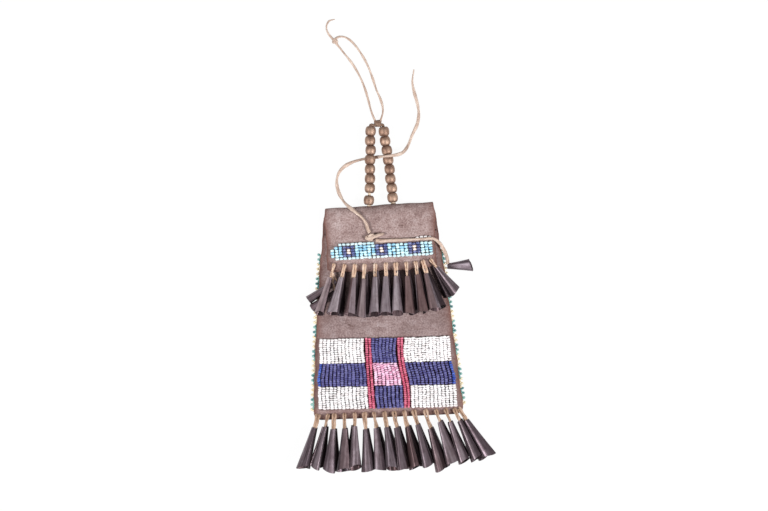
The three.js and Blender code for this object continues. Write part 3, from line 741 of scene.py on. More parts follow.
def flap_row(share, depth):
    narrow = 1 + (half_width(HINGE_Y) / FOLD_HALF_WIDTH - 1) * max(0, 1 - 4 * share)
    edge_y = HINGE_Y + (FLAP_EDGE_Y - HINGE_Y) * share
    x = across * (FOLD_HALF_WIDTH * narrow + edge_wave(edge_y))
    y = HINGE_Y + (flap_edge(x) - HINGE_Y) * share
    return row_points(x, y, flap_height(x, y) - depth)


def sheet_shape(outer, inner, bulge=0.0):
    """A closed sheet between two grids of points, with its four rims rounded out by bulge. It also
    gives, for each rim point, the number of the grid point it belongs to."""
    rows, columns = outer.shape[:2]
    count = rows * columns
    faces = grid_faces(rows, columns) + grid_faces(rows, columns, count)
    border = [(0, c) for c in range(columns - 1)] + [(r, columns - 1) for r in range(rows - 1)]
    border += [(rows - 1, c) for c in range(columns - 1, 0, -1)] + [(r, 0) for r in range(rows - 1, 0, -1)]
    rim = []
    for r, c in border:
        inward = outer[min(max(r, 1), rows - 2), min(max(c, 1), columns - 2)]
        rim.append((outer[r, c] + inner[r, c]) / 2 + unit(outer[r, c] - inward) * bulge)
    owners = [r * columns + c for r, c in border]
    total = len(border)
    for k in range(total):
        n = (k + 1) % total
        faces.append((owners[k], owners[n], 2 * count + n, 2 * count + k))
        faces.append((2 * count + k, 2 * count + n, count + owners[n], count + owners[k]))
    points = np.vstack([outer.reshape(-1, 3), inner.reshape(-1, 3), np.array(rim)])
    return points, faces, np.concatenate([np.arange(count), np.arange(count), owners])


def hide_sheet(name, rows, ends, finish):
    """A hide from rows of (function, value). ends says how dark its first and last rows are, 0 to 1: wear,
    and on the flap's edge also painted shade.
    """
    outer = np.array([place(value, 0) for place, value in rows])
    inner = np.array([place(value, LEATHER) for place, value in rows])
    points, faces, owners = sheet_shape(outer, inner, RIM_ROUNDING)
    piece = make_piece(name, points, faces, [finish])
    along = distance_along(outer[:, COLUMNS // 2])
    chart = np.stack([outer[:, :, 0], np.repeat(along[:, None], COLUMNS, axis=1)], axis=2) * 10
    to_side = (1 - np.abs(across)) * half_width(0)
    wear_and_edge_shade = np.exp(-to_side / WEAR_DEPTH)[None, :] * SIDE_WEAR
    wear_and_edge_shade = np.maximum(wear_and_edge_shade, ends[0] * np.exp(-along / WEAR_DEPTH)[:, None])
    wear_and_edge_shade = np.maximum(wear_and_edge_shade, ends[1] * np.exp((along - along[-1]) / WEAR_DEPTH)[:, None])
    above_hem = np.maximum(outer[:, :, 1] - HEM_WEAR_START, 0)
    wear_and_edge_shade = np.maximum(wear_and_edge_shade, np.exp(-above_hem / HEM_WEAR_DEPTH) * HEM_WEAR)
    paint_map(piece, "hide_map", chart.reshape(-1, 2)[owners])
    paint_value(piece, "wear_and_edge_shade", wear_and_edge_shade.ravel()[owners])
    return piece


quarter_turn = math.radians(90)
pouch_rows = [(front_row, y) for y in np.linspace(MOUTH_Y, HEM_Y + HEM_ROUNDING, ROWS["front"])]
pouch_rows += [(hem_row, a) for a in np.linspace(quarter_turn, -quarter_turn, ROWS["hem"])[1:]]
pouch_rows += [(back_row, y) for y in np.linspace(HEM_Y + HEM_ROUNDING, HINGE_Y, ROWS["back"])[1:]]
pouch_rows += [(crown_row, a) for a in np.linspace(-quarter_turn, CROWN_SPLIT, ROWS["under_fold"])[1:]]
pouch_hide = hide_sheet("pouch_hide", pouch_rows, (0.6, 0), pouch_finish)
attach(pouch_hide, "pouch")
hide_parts("pouch")

flap_rows = [(crown_row, a) for a in np.linspace(CROWN_SPLIT, quarter_turn, ROWS["crown"])]
flap_rows += [(flap_row, s) for s in np.linspace(0, 1, ROWS["flap"])[1:]]
# The flap's lower edge is darkened partly as wear and partly as painted shade that marks the edge.
flap_hide = hide_sheet("flap_hide", flap_rows, (0, 0.7), flap_finish)
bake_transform(flap_hide)
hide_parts("flap")
print("pouch", len(pouch_hide.data.polygons), "faces, flap", len(flap_hide.data.polygons), "faces")

# %% [markdown]
# ## Glass seed beads
# A seed bead is a short rounded ring of glass. The beadwork has about 1,500, and no two are quite
# alike, so one function sets out a whole field of beads as a single mesh, each with its own size and
# tilt.
# The glass reads a random number for each bead, which shifts its shade a little.

# %% Bead shapes and glass
BEAD_SIDES = 10
BEAD_PROFILE = np.array([(0.35, -0.46), (0.6, -0.5), (0.84, -0.38), (1, -0.14),
                         (1, 0.14), (0.84, 0.38), (0.6, 0.5), (0.35, 0.46)])


def bead_field(name, places, axes, radius, length, materials, which, seed, uneven=0.04):
    """Beads at places, each threaded along its axis, as one object. which gives each bead's material, and
    uneven is how much the beads differ."""
    rng = np.random.default_rng(seed)
    count = len(places)
    axes = unit_rows(unit_rows(np.asarray(axes)) + rng.normal(0, 1.4 * uneven, (count, 3)))
    side = unit_rows(np.cross(axes, (0.31, 0.17, 0.93)))
    other = np.cross(axes, side)
    radii = radius * rng.normal(1, uneven, count)
    lengths = length * rng.normal(1, uneven, count)
    angles = np.arange(BEAD_SIDES) / BEAD_SIDES * math.tau
    ring = side[:, None] * np.cos(angles)[None, :, None] + other[:, None] * np.sin(angles)[None, :, None]
    out = BEAD_PROFILE[None, :, 0, None, None] * radii[:, None, None, None] * ring[:, None]
    up = BEAD_PROFILE[None, :, 1, None, None] * lengths[:, None, None, None] * axes[:, None, None]
    points = (np.asarray(places)[:, None, None] + up + out).reshape(-1, 3)
    each = len(BEAD_PROFILE) * BEAD_SIDES
    pattern = np.array(grid_faces(len(BEAD_PROFILE), BEAD_SIDES, close_rows=True, close_columns=True))
    faces = (pattern[None] + (np.arange(count) * each)[:, None, None]).reshape(-1, 4)
    return make_piece(name, points, faces.tolist(), materials, np.repeat(which, len(pattern)))


def glass(name, *tones, roughness=0.25):
    """Glass in a few tones, from one bead to the next."""
    material, tree, shader = start_material(name, {"Roughness": roughness, "IOR": 1.5})
    stops = stops_at(np.linspace(0, 1, len(tones)), tones)
    set_inputs(tree, shader, {"Base Color": ramp(tree, island_value(tree), stops)})
    return material


white_glass = glass("white_glass", (240, 234, 234), (250, 247, 248), (253, 251, 252), roughness=0.3)
navy_glass = glass("navy_glass", (84, 81, 136), (100, 98, 154), (116, 114, 168))
cobalt_glass = glass("cobalt_glass", (48, 68, 160), (80, 108, 198))
red_glass = glass("red_glass", (198, 86, 114), (218, 108, 136), (230, 126, 152))
pink_glass = glass("pink_glass", (225, 162, 193), (251, 200, 227), (255, 224, 245))
turquoise_glass = glass("turquoise_glass", (138, 196, 226), (192, 237, 255), (226, 255, 255))
pale_glass = glass("pale_turquoise_glass", (200, 232, 240), (232, 248, 251))
square_glass = glass("square_navy_glass", (72, 81, 135), (122, 131, 179))
cream_glass = glass("cream_glass", (238, 214, 202), (250, 234, 224))
teal_glass = glass("teal_glass", (78, 130, 132), (120, 172, 166), (150, 196, 186))
yellow_glass = glass("yellow_glass", (236, 218, 180), (248, 236, 210))
print("eleven colours of glass")

# %% [markdown]
# ## Beadwork on the front
# The front is sewn in lane stitch: short parallel strings of ten to twelve beads, each string tacked
# down at both ends, so that it bows up a little and sways. Three rows of lanes make the pattern of
# white, navy and pink fields, and two red stripes of two long lanes each run between the columns.
# Each colour has its own size of bead, a little smaller in the lower white fields. So that the beads
# don't line up in a grid, every lane slips up by an amount of its own and spaces its beads in its own
# way. The hide below is painted dark as painted shade between the beads.

# %% Front beadwork
LANE_BEADS = {"white": (1.18, 1.22), "navy": (1.03, 1.2), "pink": (1.12, 1.1), "red": (0.89, 1.12)}
LOWER_WHITE = (1.12, 1.16)
LANE_BEAD_RISE = 0.93 * MM
LANE_UNEVEN = 0.1
LANE_JITTER = 0.00026
LANE_BEAD_PITCH = 1.28 * MM
PITCH_SPREAD = 0.06
BEADWORK_Y = HEM_Y + 5.3 * MM
ROW_HEIGHTS = {"lower": 13.7 * MM, "middle": 13.8 * MM, "upper": 15 * MM}
BEADWORK_HEIGHT = sum(ROW_HEIGHTS.values())
LEFT_MARGIN = 2.2 * MM
RIGHT_MARGIN = 2.5 * MM
BEAD_SHADE_INSET = 1 * MM
STRIPE_WIDTH = 4 * MM
STRIPE_LANES = 2
LANE_GAP = 0.2 * MM
LANE_PITCH = 2.26 * MM
LANE_SWAY = 0.32 * MM
LANE_WAVES = 0.8
LANE_SLIP = 0.4 * MM
LANE_BOW = 0.4 * MM
NAVY_BULGE = 0.9 * MM
BEADWORK_TILT = -0.024
TILT_CENTRE = 8 * MM
FIELD_GLASS = {"pink": [pink_glass], "navy": [navy_glass, cobalt_glass], "white": [white_glass]}


def stripe_line(top_x, bottom_x, wave, phase):
    """The left side of a red stripe: a slanting line with a wave in it."""
    def x_at(y):
        share = (y - BEADWORK_Y) / BEADWORK_HEIGHT
        return (bottom_x + (top_x - bottom_x) * share + wave * np.sin(math.tau * share + phase)) * MM
    return x_at


left_stripe = stripe_line(-12.7, -11.6, 0.25, 0.5)
right_stripe = stripe_line(6.8, 9.2, 0.95, 0.25)
COLUMN_EDGES = {
    "left": (lambda y: LEFT_MARGIN - half_width(y) - side_bulge(y, -1), lambda y: left_stripe(y) - LANE_GAP),
    "centre": (lambda y: left_stripe(y) + STRIPE_WIDTH + LANE_GAP, lambda y: right_stripe(y) - LANE_GAP),
    "right": (lambda y: right_stripe(y) + STRIPE_WIDTH + LANE_GAP,
              lambda y: half_width(y) + side_bulge(y, 1) - RIGHT_MARGIN),
}


def lane(x_at, bottom, top, pitch, phase):
    """Bead places and axes along one string of beads."""
    count = round((top - bottom) / pitch)
    share = (np.arange(count) + 0.5) / count
    y = bottom + (top - bottom) * share
    x = x_at(y) + LANE_SWAY * np.sin(math.tau * LANE_WAVES * share + phase)
    y = y + BEADWORK_TILT * (x - TILT_CENTRE)
    z = front_height(x, y) + LANE_BEAD_RISE + LANE_BOW * np.sin(math.pi * share)
    places = row_points(x, y, z)
    return places, np.gradient(places, axis=0)


def lane_field(name, node, bead, count, edges, bottom, top, materials, seed, bulge=0.0, outer=None):
    """A field of lanes between its edges. bead is a radius and a length in millimetres, bulge pushes the
    lanes sideways in the middle, and outer is a lane with the second material. Beads may stand out of
    line by LANE_JITTER, a share of the step between them, which is next to nothing here."""
    left_at, right_at = edges
    places, axes, which = [], [], []
    rng = np.random.default_rng(200 + seed)
    for i in range(count):
        share = (i + 0.5) / count

        def x_at(y):
            middle = np.sin(math.pi * (y - bottom) / (top - bottom))
            push = bulge * (1 - share if bulge < 0 else share) ** 2
            return left_at(y) + (right_at(y) - left_at(y)) * share + push * middle

        slip = rng.uniform(0, 1) * LANE_SLIP
        pitch = LANE_BEAD_PITCH * (1 + rng.uniform(-1, 1) * PITCH_SPREAD)
        p, steps = lane(x_at, bottom + slip, top + slip, pitch, seed + 0.1 * i)
        aside = np.column_stack((steps[:, 1], -steps[:, 0], 0 * steps[:, 0])) * LANE_JITTER
        places.append(p + aside * rng.uniform(-1, 1, (len(p), 1)))
        axes.append(steps)
        which += [1 if i == outer else 0] * len(p)
    piece = bead_field(name, np.vstack(places), np.vstack(axes), bead[0] * MM, bead[1] * MM, materials,
                       which, seed, LANE_UNEVEN)
    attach(piece, "pouch")
    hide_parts(node)
    return piece


made = 0
bottom = BEADWORK_Y
for row, height in ROW_HEIGHTS.items():
    top = bottom + height - LANE_GAP
    for column, edges in COLUMN_EDGES.items():
        made += 1
        middle = bottom + height / 2
        count = round((edges[1](middle) - edges[0](middle)) / LANE_PITCH)
        navy = (column == "centre") != (row == "middle")
        tone = "pink" if column == "centre" and row == "middle" else "navy" if navy else "white"
        side_navy = navy and column != "centre"
        bulge = (-NAVY_BULGE if column == "left" else NAVY_BULGE) if side_navy else 0.0
        outer = (0 if column == "left" else count - 1) if side_navy else None
        bead = LOWER_WHITE if tone == "white" and row == "lower" else LANE_BEADS[tone]
        piece = lane_field(f"{tone}_seed_beads_{row}_{column}", f"{tone}_beads_{row}_{column}", bead, count,
                           edges, bottom, top, FIELD_GLASS[tone], made, bulge, outer)
    bottom += height
for side, line in (("left", left_stripe), ("right", right_stripe)):
    made += 1
    edges = (line, lambda y, line=line: line(y) + STRIPE_WIDTH)
    piece = lane_field(f"red_seed_beads_{side}", f"red_bead_stripe_{side}", LANE_BEADS["red"], STRIPE_LANES,
                       edges, BEADWORK_Y, BEADWORK_Y + BEADWORK_HEIGHT, [red_glass], made)

# Painted shade: the hide's front points under the beadwork are marked, to be darkened between the beads.
corners = np.array([v.co for v in pouch_hide.data.vertices])
inside = corners[:, 2] > front_height(corners[:, 0], corners[:, 1]) - LEATHER / 2
inside &= (corners[:, 1] > BEADWORK_Y + BEAD_SHADE_INSET) & (corners[:, 1] < bottom - BEAD_SHADE_INSET)
inside &= np.abs(corners[:, 0]) < half_width(corners[:, 1]) - RIGHT_MARGIN - BEAD_SHADE_INSET
paint_value(pouch_hide, "bead_gap_shade", inside)
print(made, "bead fields on the front, on", inside.sum(), "darker points of hide")

# %% [markdown]
# ## Beadwork on the flap
# The flap's strip has twenty-five short upright strings, with beads that stand a little out of line.
# Three navy squares with a pale pair of beads in the middle stand on one row of turquoise. The strip
# climbs a little to the right, where the closing thong covers its top row and four white beads peek
# out above the thong, and its left end is rounded off.

# %% Flap beadwork
STRIP_LEFT = -30.1 * MM
STRIP_RIGHT = 31.2 * MM
STRIP_BOTTOM = FLAP_EDGE_Y + 7.2 * MM
STRIP_CLIMB = 0.8 * MM
STRIP_LANES = 25
STRIP_ROWS = 6
STRIP_ROW_PITCH = 1.66 * MM
STRIP_LEAN = -0.07
STRIP_BEAD_RADIUS = 1.16 * MM
STRIP_BEAD_LENGTH = 1.48 * MM
STRIP_BEAD_RISE = 1.0 * MM
STRIP_UNEVEN = 0.09
PEEKING_LANES = range(21, 25)
PEEKING_Y = 43.3 * MM
PEEKING_SWAY = 0.25 * MM
PEEKING_RISE = 0.5 * MM
FIRST_COVERED_LANE = 11
SQUARES = {"left": 3, "middle": 11, "right": 19}
SQUARE_LANES = 3
SQUARE_CENTRE_ROWS = (2, 3)
END_ROWS = {0: (1, 2, 3), 1: (0, 1, 2, 3, 4)}
STRIP_JITTER = 0.16 * MM
strip_pitch = (STRIP_RIGHT - STRIP_LEFT) / STRIP_LANES
strip_rng = random.Random(41)
strip = {"strip": ([], []), "left": ([], []), "middle": ([], []), "right": ([], [])}
for i in range(STRIP_LANES):
    square = next((name for name, first in SQUARES.items() if first <= i < first + SQUARE_LANES), None)
    rows = END_ROWS.get(i, range(STRIP_ROWS if i < FIRST_COVERED_LANE else STRIP_ROWS - 1))
    for row in rows:
        rise = (row + 0.5) * STRIP_ROW_PITCH
        x = STRIP_LEFT + (i + 0.5) * strip_pitch + STRIP_LEAN * rise + strip_rng.uniform(-1, 1) * STRIP_JITTER
        y = STRIP_BOTTOM + STRIP_CLIMB * i / STRIP_LANES + rise + strip_rng.uniform(-1, 1) * STRIP_JITTER
        place = (x, y, flap_height(x, y) + STRIP_BEAD_RISE)
        if square and 0 < row < STRIP_ROWS - 1:
            middle = i == SQUARES[square] + 1 and row in SQUARE_CENTRE_ROWS
            strip[square][0].append(place)
            strip[square][1].append(1 if middle else 0)
        else:
            strip["strip"][0].append(place)
            strip["strip"][1].append(1 if row in (0, STRIP_ROWS - 1) else 0)
for i in PEEKING_LANES:
    x = STRIP_LEFT + (i + 0.2) * strip_pitch
    y = PEEKING_Y + PEEKING_SWAY * math.sin(2.3 * i)
    strip["strip"][0].append((x, y, flap_height(x, y) + PEEKING_RISE))
    strip["strip"][1].append(2)
for number, (name, (places, which)) in enumerate(strip.items()):
    plain = name == "strip"
    piece_name = "turquoise_seed_bead_strip" if plain else f"navy_seed_bead_square_{name}"
    materials = [turquoise_glass, pale_glass, white_glass] if plain else [square_glass, cream_glass]
    piece = bead_field(piece_name, places, [(STRIP_LEAN, 1, 0)] * len(places), STRIP_BEAD_RADIUS,
                       STRIP_BEAD_LENGTH, materials, which, 40 + number, STRIP_UNEVEN)
    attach(piece, "flap")
    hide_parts("flap_bead_strip" if plain else f"flap_bead_square_{name}")
print("flap strip with", sum(len(v[0]) for v in strip.values()), "beads")

# %% [markdown]
# ## Bead edging
# Both sewn sides carry an edging stitch. One bead lies along the edge, and every second stitch has
# another that stands out from it, which gives the spiky outline. Teal and pale yellow take turns.

# %% Edging
EDGING_PITCH = 1.45 * MM
EDGING_RADIUS = 0.78 * MM
EDGING_LENGTH = 1.3 * MM
EDGING_OFFSET = 0.6 * MM
SPIKE_REACH = 1.05 * MM
EDGING_BOTTOM = HEM_Y + 6 * MM
EDGING_TOP = 36 * MM
TEAL_CENTRES = {"left": (-10.0 * MM, 14.4 * MM), "right": (-11.0 * MM, 13.7 * MM)}
TEAL_HALF_LENGTH = 3.6 * MM
for side, sign in (("left", -1), ("right", 1)):
    first, period = TEAL_CENTRES[side]
    rng = random.Random(sign + 7)
    places, axes, which = [], [], []
    y = EDGING_BOTTOM
    stitch = 0
    while y < EDGING_TOP:
        to_teal = abs((y - first + period / 2) % period - period / 2)
        tone = 0 if to_teal < TEAL_HALF_LENGTH else 1
        x = sign * (half_width(y) + side_bulge(y, sign) + EDGING_OFFSET)
        z = EDGE_THICKNESS / 2 + rng.uniform(-0.3, 0.5) * MM
        places.append((x, y, z))
        axes.append((0.3 * sign, 1, rng.uniform(-0.3, 0.3)))
        which.append(tone)
        if stitch % 2 == 0:
            places.append((x + sign * SPIKE_REACH, y + 0.5 * EDGING_PITCH, z + rng.uniform(-0.3, 0.5) * MM))
            axes.append((sign, rng.uniform(-0.6, 0.6), rng.uniform(-0.4, 0.4)))
            which.append(tone)
        y += EDGING_PITCH
        stitch += 1
    piece = bead_field(f"edging_beads_{side}", places, axes, EDGING_RADIUS, EDGING_LENGTH,
                       [teal_glass, yellow_glass], which, 60 + sign)
    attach(piece, "pouch")
    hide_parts(f"edge_beads_{side}")
    print(piece.name, len(places), "beads")

# %% [markdown]
# ## Strap
# The strap is one thong in two legs. Each leg is threaded with eight round brass beads, and the tops
# of the legs are bound together. The beads are turned shapes with a bore, a little uneven, in old
# brass that has gone brown between them.

# %% Brass beads
BRASS_TONES = ((132, 102, 88), (172, 142, 124), (200, 172, 152))


def brass_material():
    material, tree, shader = start_material("old_brass", {"Roughness": 0.58, "Metallic": 0.85})
    tarnish = noise(tree, object_coordinate(tree), 260, 5, 0.6)
    scratches = noise(tree, object_coordinate(tree, (1, 4, 1)), 900, 3)
    shade = ramp(tree, tarnish, stops_at((0.32, 0.5, 0.7), BRASS_TONES))
    shade = mix(tree, vertex_value(tree, "grime"), shade, colour(138, 108, 94))
    set_inputs(tree, shader, {"Base Color": shade})
    bump(tree, shader, [(tarnish, 0.25, 0.2 * MM), (scratches, 0.15, 0.08 * MM)])
    return material


BRASS_PROFILE = np.array([(0.34, -0.47), (0.62, -0.5), (0.8, -0.43), (0.93, -0.29), (1.0, -0.1), (1.0, 0.1),
                          (0.93, 0.29), (0.8, 0.43), (0.62, 0.5), (0.34, 0.47)])
BRASS_GRIME = np.array([1, 0.9, 0.5, 0.1, 0, 0, 0.1, 0.5, 0.9, 1])
BRASS_SIDES = 24
BRASS_RADIUS = 3.25 * MM
BRASS_LENGTH = 5.7 * MM
STRAP_CENTRE = 1.3 * MM
LEG_LENGTH = 48.5 * MM
LEG_SPREAD_AT_FOLD = 7.35 * MM
LEG_SPREAD_AT_TOP = 4.1 * MM
RIGHT_LEG_BEND = 1.2 * MM
old_brass = brass_material()
leg_height = {-1: middle_of("brass_beads_left")[2], 1: middle_of("brass_beads_right")[2]}


def leg_point(side, rise):
    half = LEG_SPREAD_AT_FOLD + (LEG_SPREAD_AT_TOP - LEG_SPREAD_AT_FOLD) * rise / LEG_LENGTH
    bend = RIGHT_LEG_BEND * max(0, rise / LEG_LENGTH) ** 2.5 if side > 0 else 0
    return np.array((STRAP_CENTRE + side * half - bend, FOLD_Y + rise, leg_height[side]))


def brass_string(name, node, side, rise, count, seed):
    rng = random.Random(seed)
    points, faces, grime = [], [], []
    for bead in range(count):
        centre = leg_point(side, rise + (bead + 0.5) * BRASS_LENGTH)
        centre[0] += rng.uniform(-0.25, 0.25) * MM
        axis = leg_point(side, LEG_LENGTH) - leg_point(side, 0)
        wobble = np.array((rng.uniform(-0.06, 0.06), 0, rng.uniform(-0.04, 0.04)))
        axis = unit(unit(axis) + wobble)
        right = unit(np.cross(axis, (0, 0, 1)))
        up = np.cross(right, axis)
        size = BRASS_RADIUS * rng.uniform(0.96, 1.0)
        first = len(points)
        for (radius, along), dirt in zip(BRASS_PROFILE, BRASS_GRIME):
            for k in range(BRASS_SIDES):
                angle = math.tau * k / BRASS_SIDES
                out = right * math.cos(angle) + up * math.sin(angle)
                points.append(centre + axis * along * BRASS_LENGTH + out * radius * size)
                grime.append(dirt)
        faces += grid_faces(len(BRASS_PROFILE), BRASS_SIDES, first, close_rows=True, close_columns=True)
    piece = make_piece(name, points, faces, [old_brass])
    paint_value(piece, "grime", grime)
    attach(piece, "pouch")
    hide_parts(node)
    return piece


brass_string("brass_bead_left_low", "brass_bead_left_lowest", -1, 0.3 * MM, 1, 1)
brass_string("brass_string_left", "brass_beads_left", -1, 7.5 * MM, 7, 2)
brass_string("brass_string_right", "brass_beads_right", 1, 1.3 * MM, 8, 3)
print("sixteen brass beads")

# %% [markdown]
# ## Strap thong and binding
# The strap's own thong shows only near the fold, where it comes out wide and pale, and at the top,
# where it has gone dark. So each leg is a pale strip that is widest at the fold and ends inside its
# last bead. The shoulders above it and the binding's four turns are a piece of their own, in darker
# hide, and the tie's two runs go into those turns.

# %% Strap thong and binding
BINDING_Y = FOLD_Y + 49.1 * MM
BINDING_TURNS = 4
BINDING_LENGTH = 3.6 * MM
COIL_RADII = (1.75 * MM, 1.35 * MM)
COIL_SECTION = (1.15 * MM, 0.9 * MM)
STRAP_SECTION = (1.9 * MM, 1.5 * MM)
DEPTH_IN_FOLD = 5.2 * MM
DEPTH_IN_BEAD = 3 * MM
SHOULDER_DROP = 0.4 * MM
NECK_OFFSET = (0.8 * MM, -1 * MM)
OVER_OFFSET = (0.6 * MM, 1.2 * MM)
WIDE_AT_FOLD = {-1: ((0, 1.3), (0.1, 1.3), (0.14, 1), (1, 1)),
                1: ((0, 1.8), (0.12, 1.8), (0.16, 1), (1, 1))}
binding_height = leg_height[1]
strap_shapes, binding_shapes = [], []
for side in (-1, 1):
    low = leg_point(side, -DEPTH_IN_FOLD)
    last_bead = leg_point(side, LEG_LENGTH - DEPTH_IN_BEAD)
    top = leg_point(side, LEG_LENGTH - SHOULDER_DROP)
    neck, over = [np.array((STRAP_CENTRE + side * aside, BINDING_Y + up, binding_height))
                  for aside, up in (NECK_OFFSET, OVER_OFFSET)]
    leg = smooth_route(np.array([low, (low + last_bead) / 2, last_bead]) / MM, 1.2 * MM)
    strap_shapes.append(strip_shape(leg, *STRAP_SECTION, 0.4, WIDE_AT_FOLD[side], sides=8, seed=10 + side))
    shoulder = smooth_route(np.array([last_bead, top, neck, over]) / MM, 0.5 * MM)
    binding_shapes.append(strip_shape(shoulder, *STRAP_SECTION, sides=8, seed=20 + side))
turns = np.linspace(0, BINDING_TURNS * math.tau, BINDING_TURNS * 20)
coil = np.stack([STRAP_CENTRE + COIL_RADII[0] * np.cos(turns),
                 BINDING_Y + (turns / turns[-1] - 0.5) * BINDING_LENGTH,
                 binding_height + COIL_RADII[1] * np.sin(turns)], axis=1)
binding_shapes.append(strip_shape(coil, *COIL_SECTION, sides=8, seed=12))
strap = thong_piece("strap_legs", strap_shapes, strap_hide)
binding = thong_piece("strap_binding", binding_shapes, binding_hide)
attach(strap, "pouch")
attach(binding, "pouch")
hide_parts("strap_thong")
print("strap legs and a binding of", BINDING_TURNS, "turns")

# %% [markdown]
# ## Tin
# The tinklers are cut from old tin cans and rolled into cones. The metal has gone dark grey with brown
# patches, and is rubbed smooth elsewhere. The flap's tin is painted paler than the hem's, as a painted
# sheen. The map runs round and along each cone. Each flat of a cone carries painted reflection: a
# brightness painted on the mesh, lighter on flats that face one way and darker on the others. A random
# number for each cone darkens and warms its shade. The cones behind get a darker tin as painted shade,
# because little light falls between the front ones.

# %% Tin material
DULL = (0.5, 0.5, 0.5, 1)
RUBBED = (0.36, 0.36, 0.36, 1)


def tin_material(name, *tones):
    """Tin in three tones, from its dark streaks to its pale ones."""
    material, tree, shader = start_material(name, {"Roughness": 0.42, "Metallic": 0.75})
    streaks = noise(tree, uv_coordinate(tree, "tin_map", (5, 0.3, 1)), 2.4, 5, 0.6)
    patches = noise(tree, uv_coordinate(tree, "tin_map", (2.2, 1.4, 1)), 1.7, 5, 0.6)
    rust = noise(tree, uv_coordinate(tree, "tin_map", (1.5, 0.9, 1)), 1.1, 4, 0.55)
    shade = ramp(tree, streaks, stops_at((0.32, 0.5, 0.7), tones))
    shade = darken(tree, shade, 0.4, patches, [(0.35, colour(168, 152, 150)), (0.58, WHITE)])
    # Painted reflection and shade on each flat, from the number painted on the mesh.
    shade = darken(tree, shade, 1, vertex_value(tree, "facet_painted_light"),
                   [(0, colour(104, 98, 102)), (0.5, colour(200, 194, 198)), (1, WHITE)])
    brown = ramp(tree, rust, [(0.52, BLACK), (0.74, colour(120, 120, 120))])
    shade = mix(tree, brown, shade, colour(104, 78, 72))
    shade = darken(tree, shade, 1, island_value(tree), [(0, colour(186, 162, 154)), (1, WHITE)])
    rough = ramp(tree, patches, [(0.3, DULL), (0.7, RUBBED)])
    set_inputs(tree, shader, {"Base Color": shade, "Roughness": rough})
    bump(tree, shader, [(streaks, 0.12, 0.15 * MM), (patches, 0.25, 0.35 * MM)])
    return material


hem_tin = tin_material("old_tin", (108, 95, 102), (141, 128, 136), (172, 161, 170))
# The flap's tin is painted paler than the hem's: a painted sheen for the bright reflection its cones show
# from above.
flap_tin = tin_material("flap_tin_painted_sheen", (176, 164, 172), (216, 204, 213), (240, 231, 239))
shaded_tin = tin_material("shaded_tin", (64, 55, 59), (88, 77, 83), (116, 105, 111))
print("three tins made")

# %% [markdown]
# ## Rolled cones
# A tinkler is a scrap of tin rolled until one edge laps over the other. So the cone is a thin sheet
# that winds a little more than once round, with the lap showing as a step along it. Tin that is bent
# by hand doesn't come out round: it has flats and soft ridges along the cone, and these catch the
# light in bands. Each flat also gets painted reflection, lighter or darker by the way it faces. The cut
# edge at the mouth is never quite square.

# %% Rolled cones
TIN = 0.35 * MM
LAP = 0.9
CONE_COLUMNS = 34
CONE_ROWS = 9
FLATNESS = 0.85
RIM_FROM = 0.75


def flat_side(angle, ridges):
    """The radius of a polygon with corners at the ridges' angles, for a circle of 1 through them, and
    the number of the side."""
    corners = np.array(ridges + [ridges[0] + math.tau])
    turned = (angle - corners[0]) % math.tau + corners[0]
    which = np.clip(np.searchsorted(corners, turned, side="right") - 1, 0, len(ridges) - 1)
    middle = (corners[which] + corners[which + 1]) / 2
    half = (corners[which + 1] - corners[which]) / 2
    return np.cos(half) / np.cos(turned - middle), which


def rolled_cone(top, mouth, radii, rng, wide=1.08, flat=0.9):
    """A cone of rolled tin from top to mouth, as points, faces and, for each point, a place on the map
    and the painted light of its flat. radii are those of the top and the mouth."""
    axis = np.asarray(mouth) - np.asarray(top)
    length = np.linalg.norm(axis)
    axis = axis / length
    right = unit(np.cross(axis, (0, 0, 1)))
    up = np.cross(right, axis)
    start = rng.uniform(0, math.tau)
    tilt = rng.uniform(0.02, 0.07) * length
    tilt_angle = rng.uniform(0, math.tau)
    flats = rng.choice((5, 6, 7))
    ridges = [(k + rng.uniform(-0.28, 0.28)) / flats * math.tau for k in range(flats)]
    turn = math.tau + LAP
    share = np.linspace(0, 1, CONE_ROWS)[:, None]
    wound = np.linspace(0, turn, CONE_COLUMNS)[None]
    angle = start + wound
    polygon, side = flat_side(angle, ridges)
    # Painted reflection: each flat is lighter or darker by the way it faces, with a little at random.
    tones = [0.55 + 0.4 * math.cos(ridge + math.pi / flats - 1) + rng.uniform(-0.4, 0.4) for ridge in ridges]
    tones = np.clip(tones, 0, 1)[side]
    squeeze = share ** 0.5
    sheets = []
    for lift in (TIN / 2, -TIN / 2):
        radius = radii[0] + (radii[1] - radii[0]) * share ** 1.2
        radius = radius + 1.5 * TIN * (wound / math.tau - 0.6) + lift
        radius = radius * (1 + FLATNESS * (polygon - 1))
        x = radius * np.cos(angle) * (1 + (wide - 1) * squeeze)
        z = radius * np.sin(angle) * (1 + (flat - 1) * squeeze)
        reach = share * (length + tilt * np.cos(angle - tilt_angle) * share)
        sheets.append(np.asarray(top) + x[..., None] * right + z[..., None] * up + reach[..., None] * axis)
    points, faces, owners = sheet_shape(*sheets)
    u = np.repeat(wound / math.tau + start, CONE_ROWS, axis=0)
    v = np.repeat(share * length * 100 + 7 * start, CONE_COLUMNS, axis=1)
    chart = np.stack([u, v, np.repeat(tones, CONE_ROWS, axis=0)], axis=2).reshape(-1, 3)[owners]
    return points, faces, chart


def tin_piece(name, shapes, tins, body):
    """Cones as one object, the first in the first tin and the others in the last."""
    points, faces, chart = join_shapes(shapes)
    each = len(shapes[0][1])
    which = np.minimum(np.arange(len(faces)) // each, len(tins) - 1)
    piece = make_piece(name, points, faces, tins, which, crease=50)
    paint_map(piece, "tin_map", chart[:, :2])
    # The painted reflection of each flat, for the material.
    paint_value(piece, "facet_painted_light", chart[:, 2])
    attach(piece, body)
    return piece


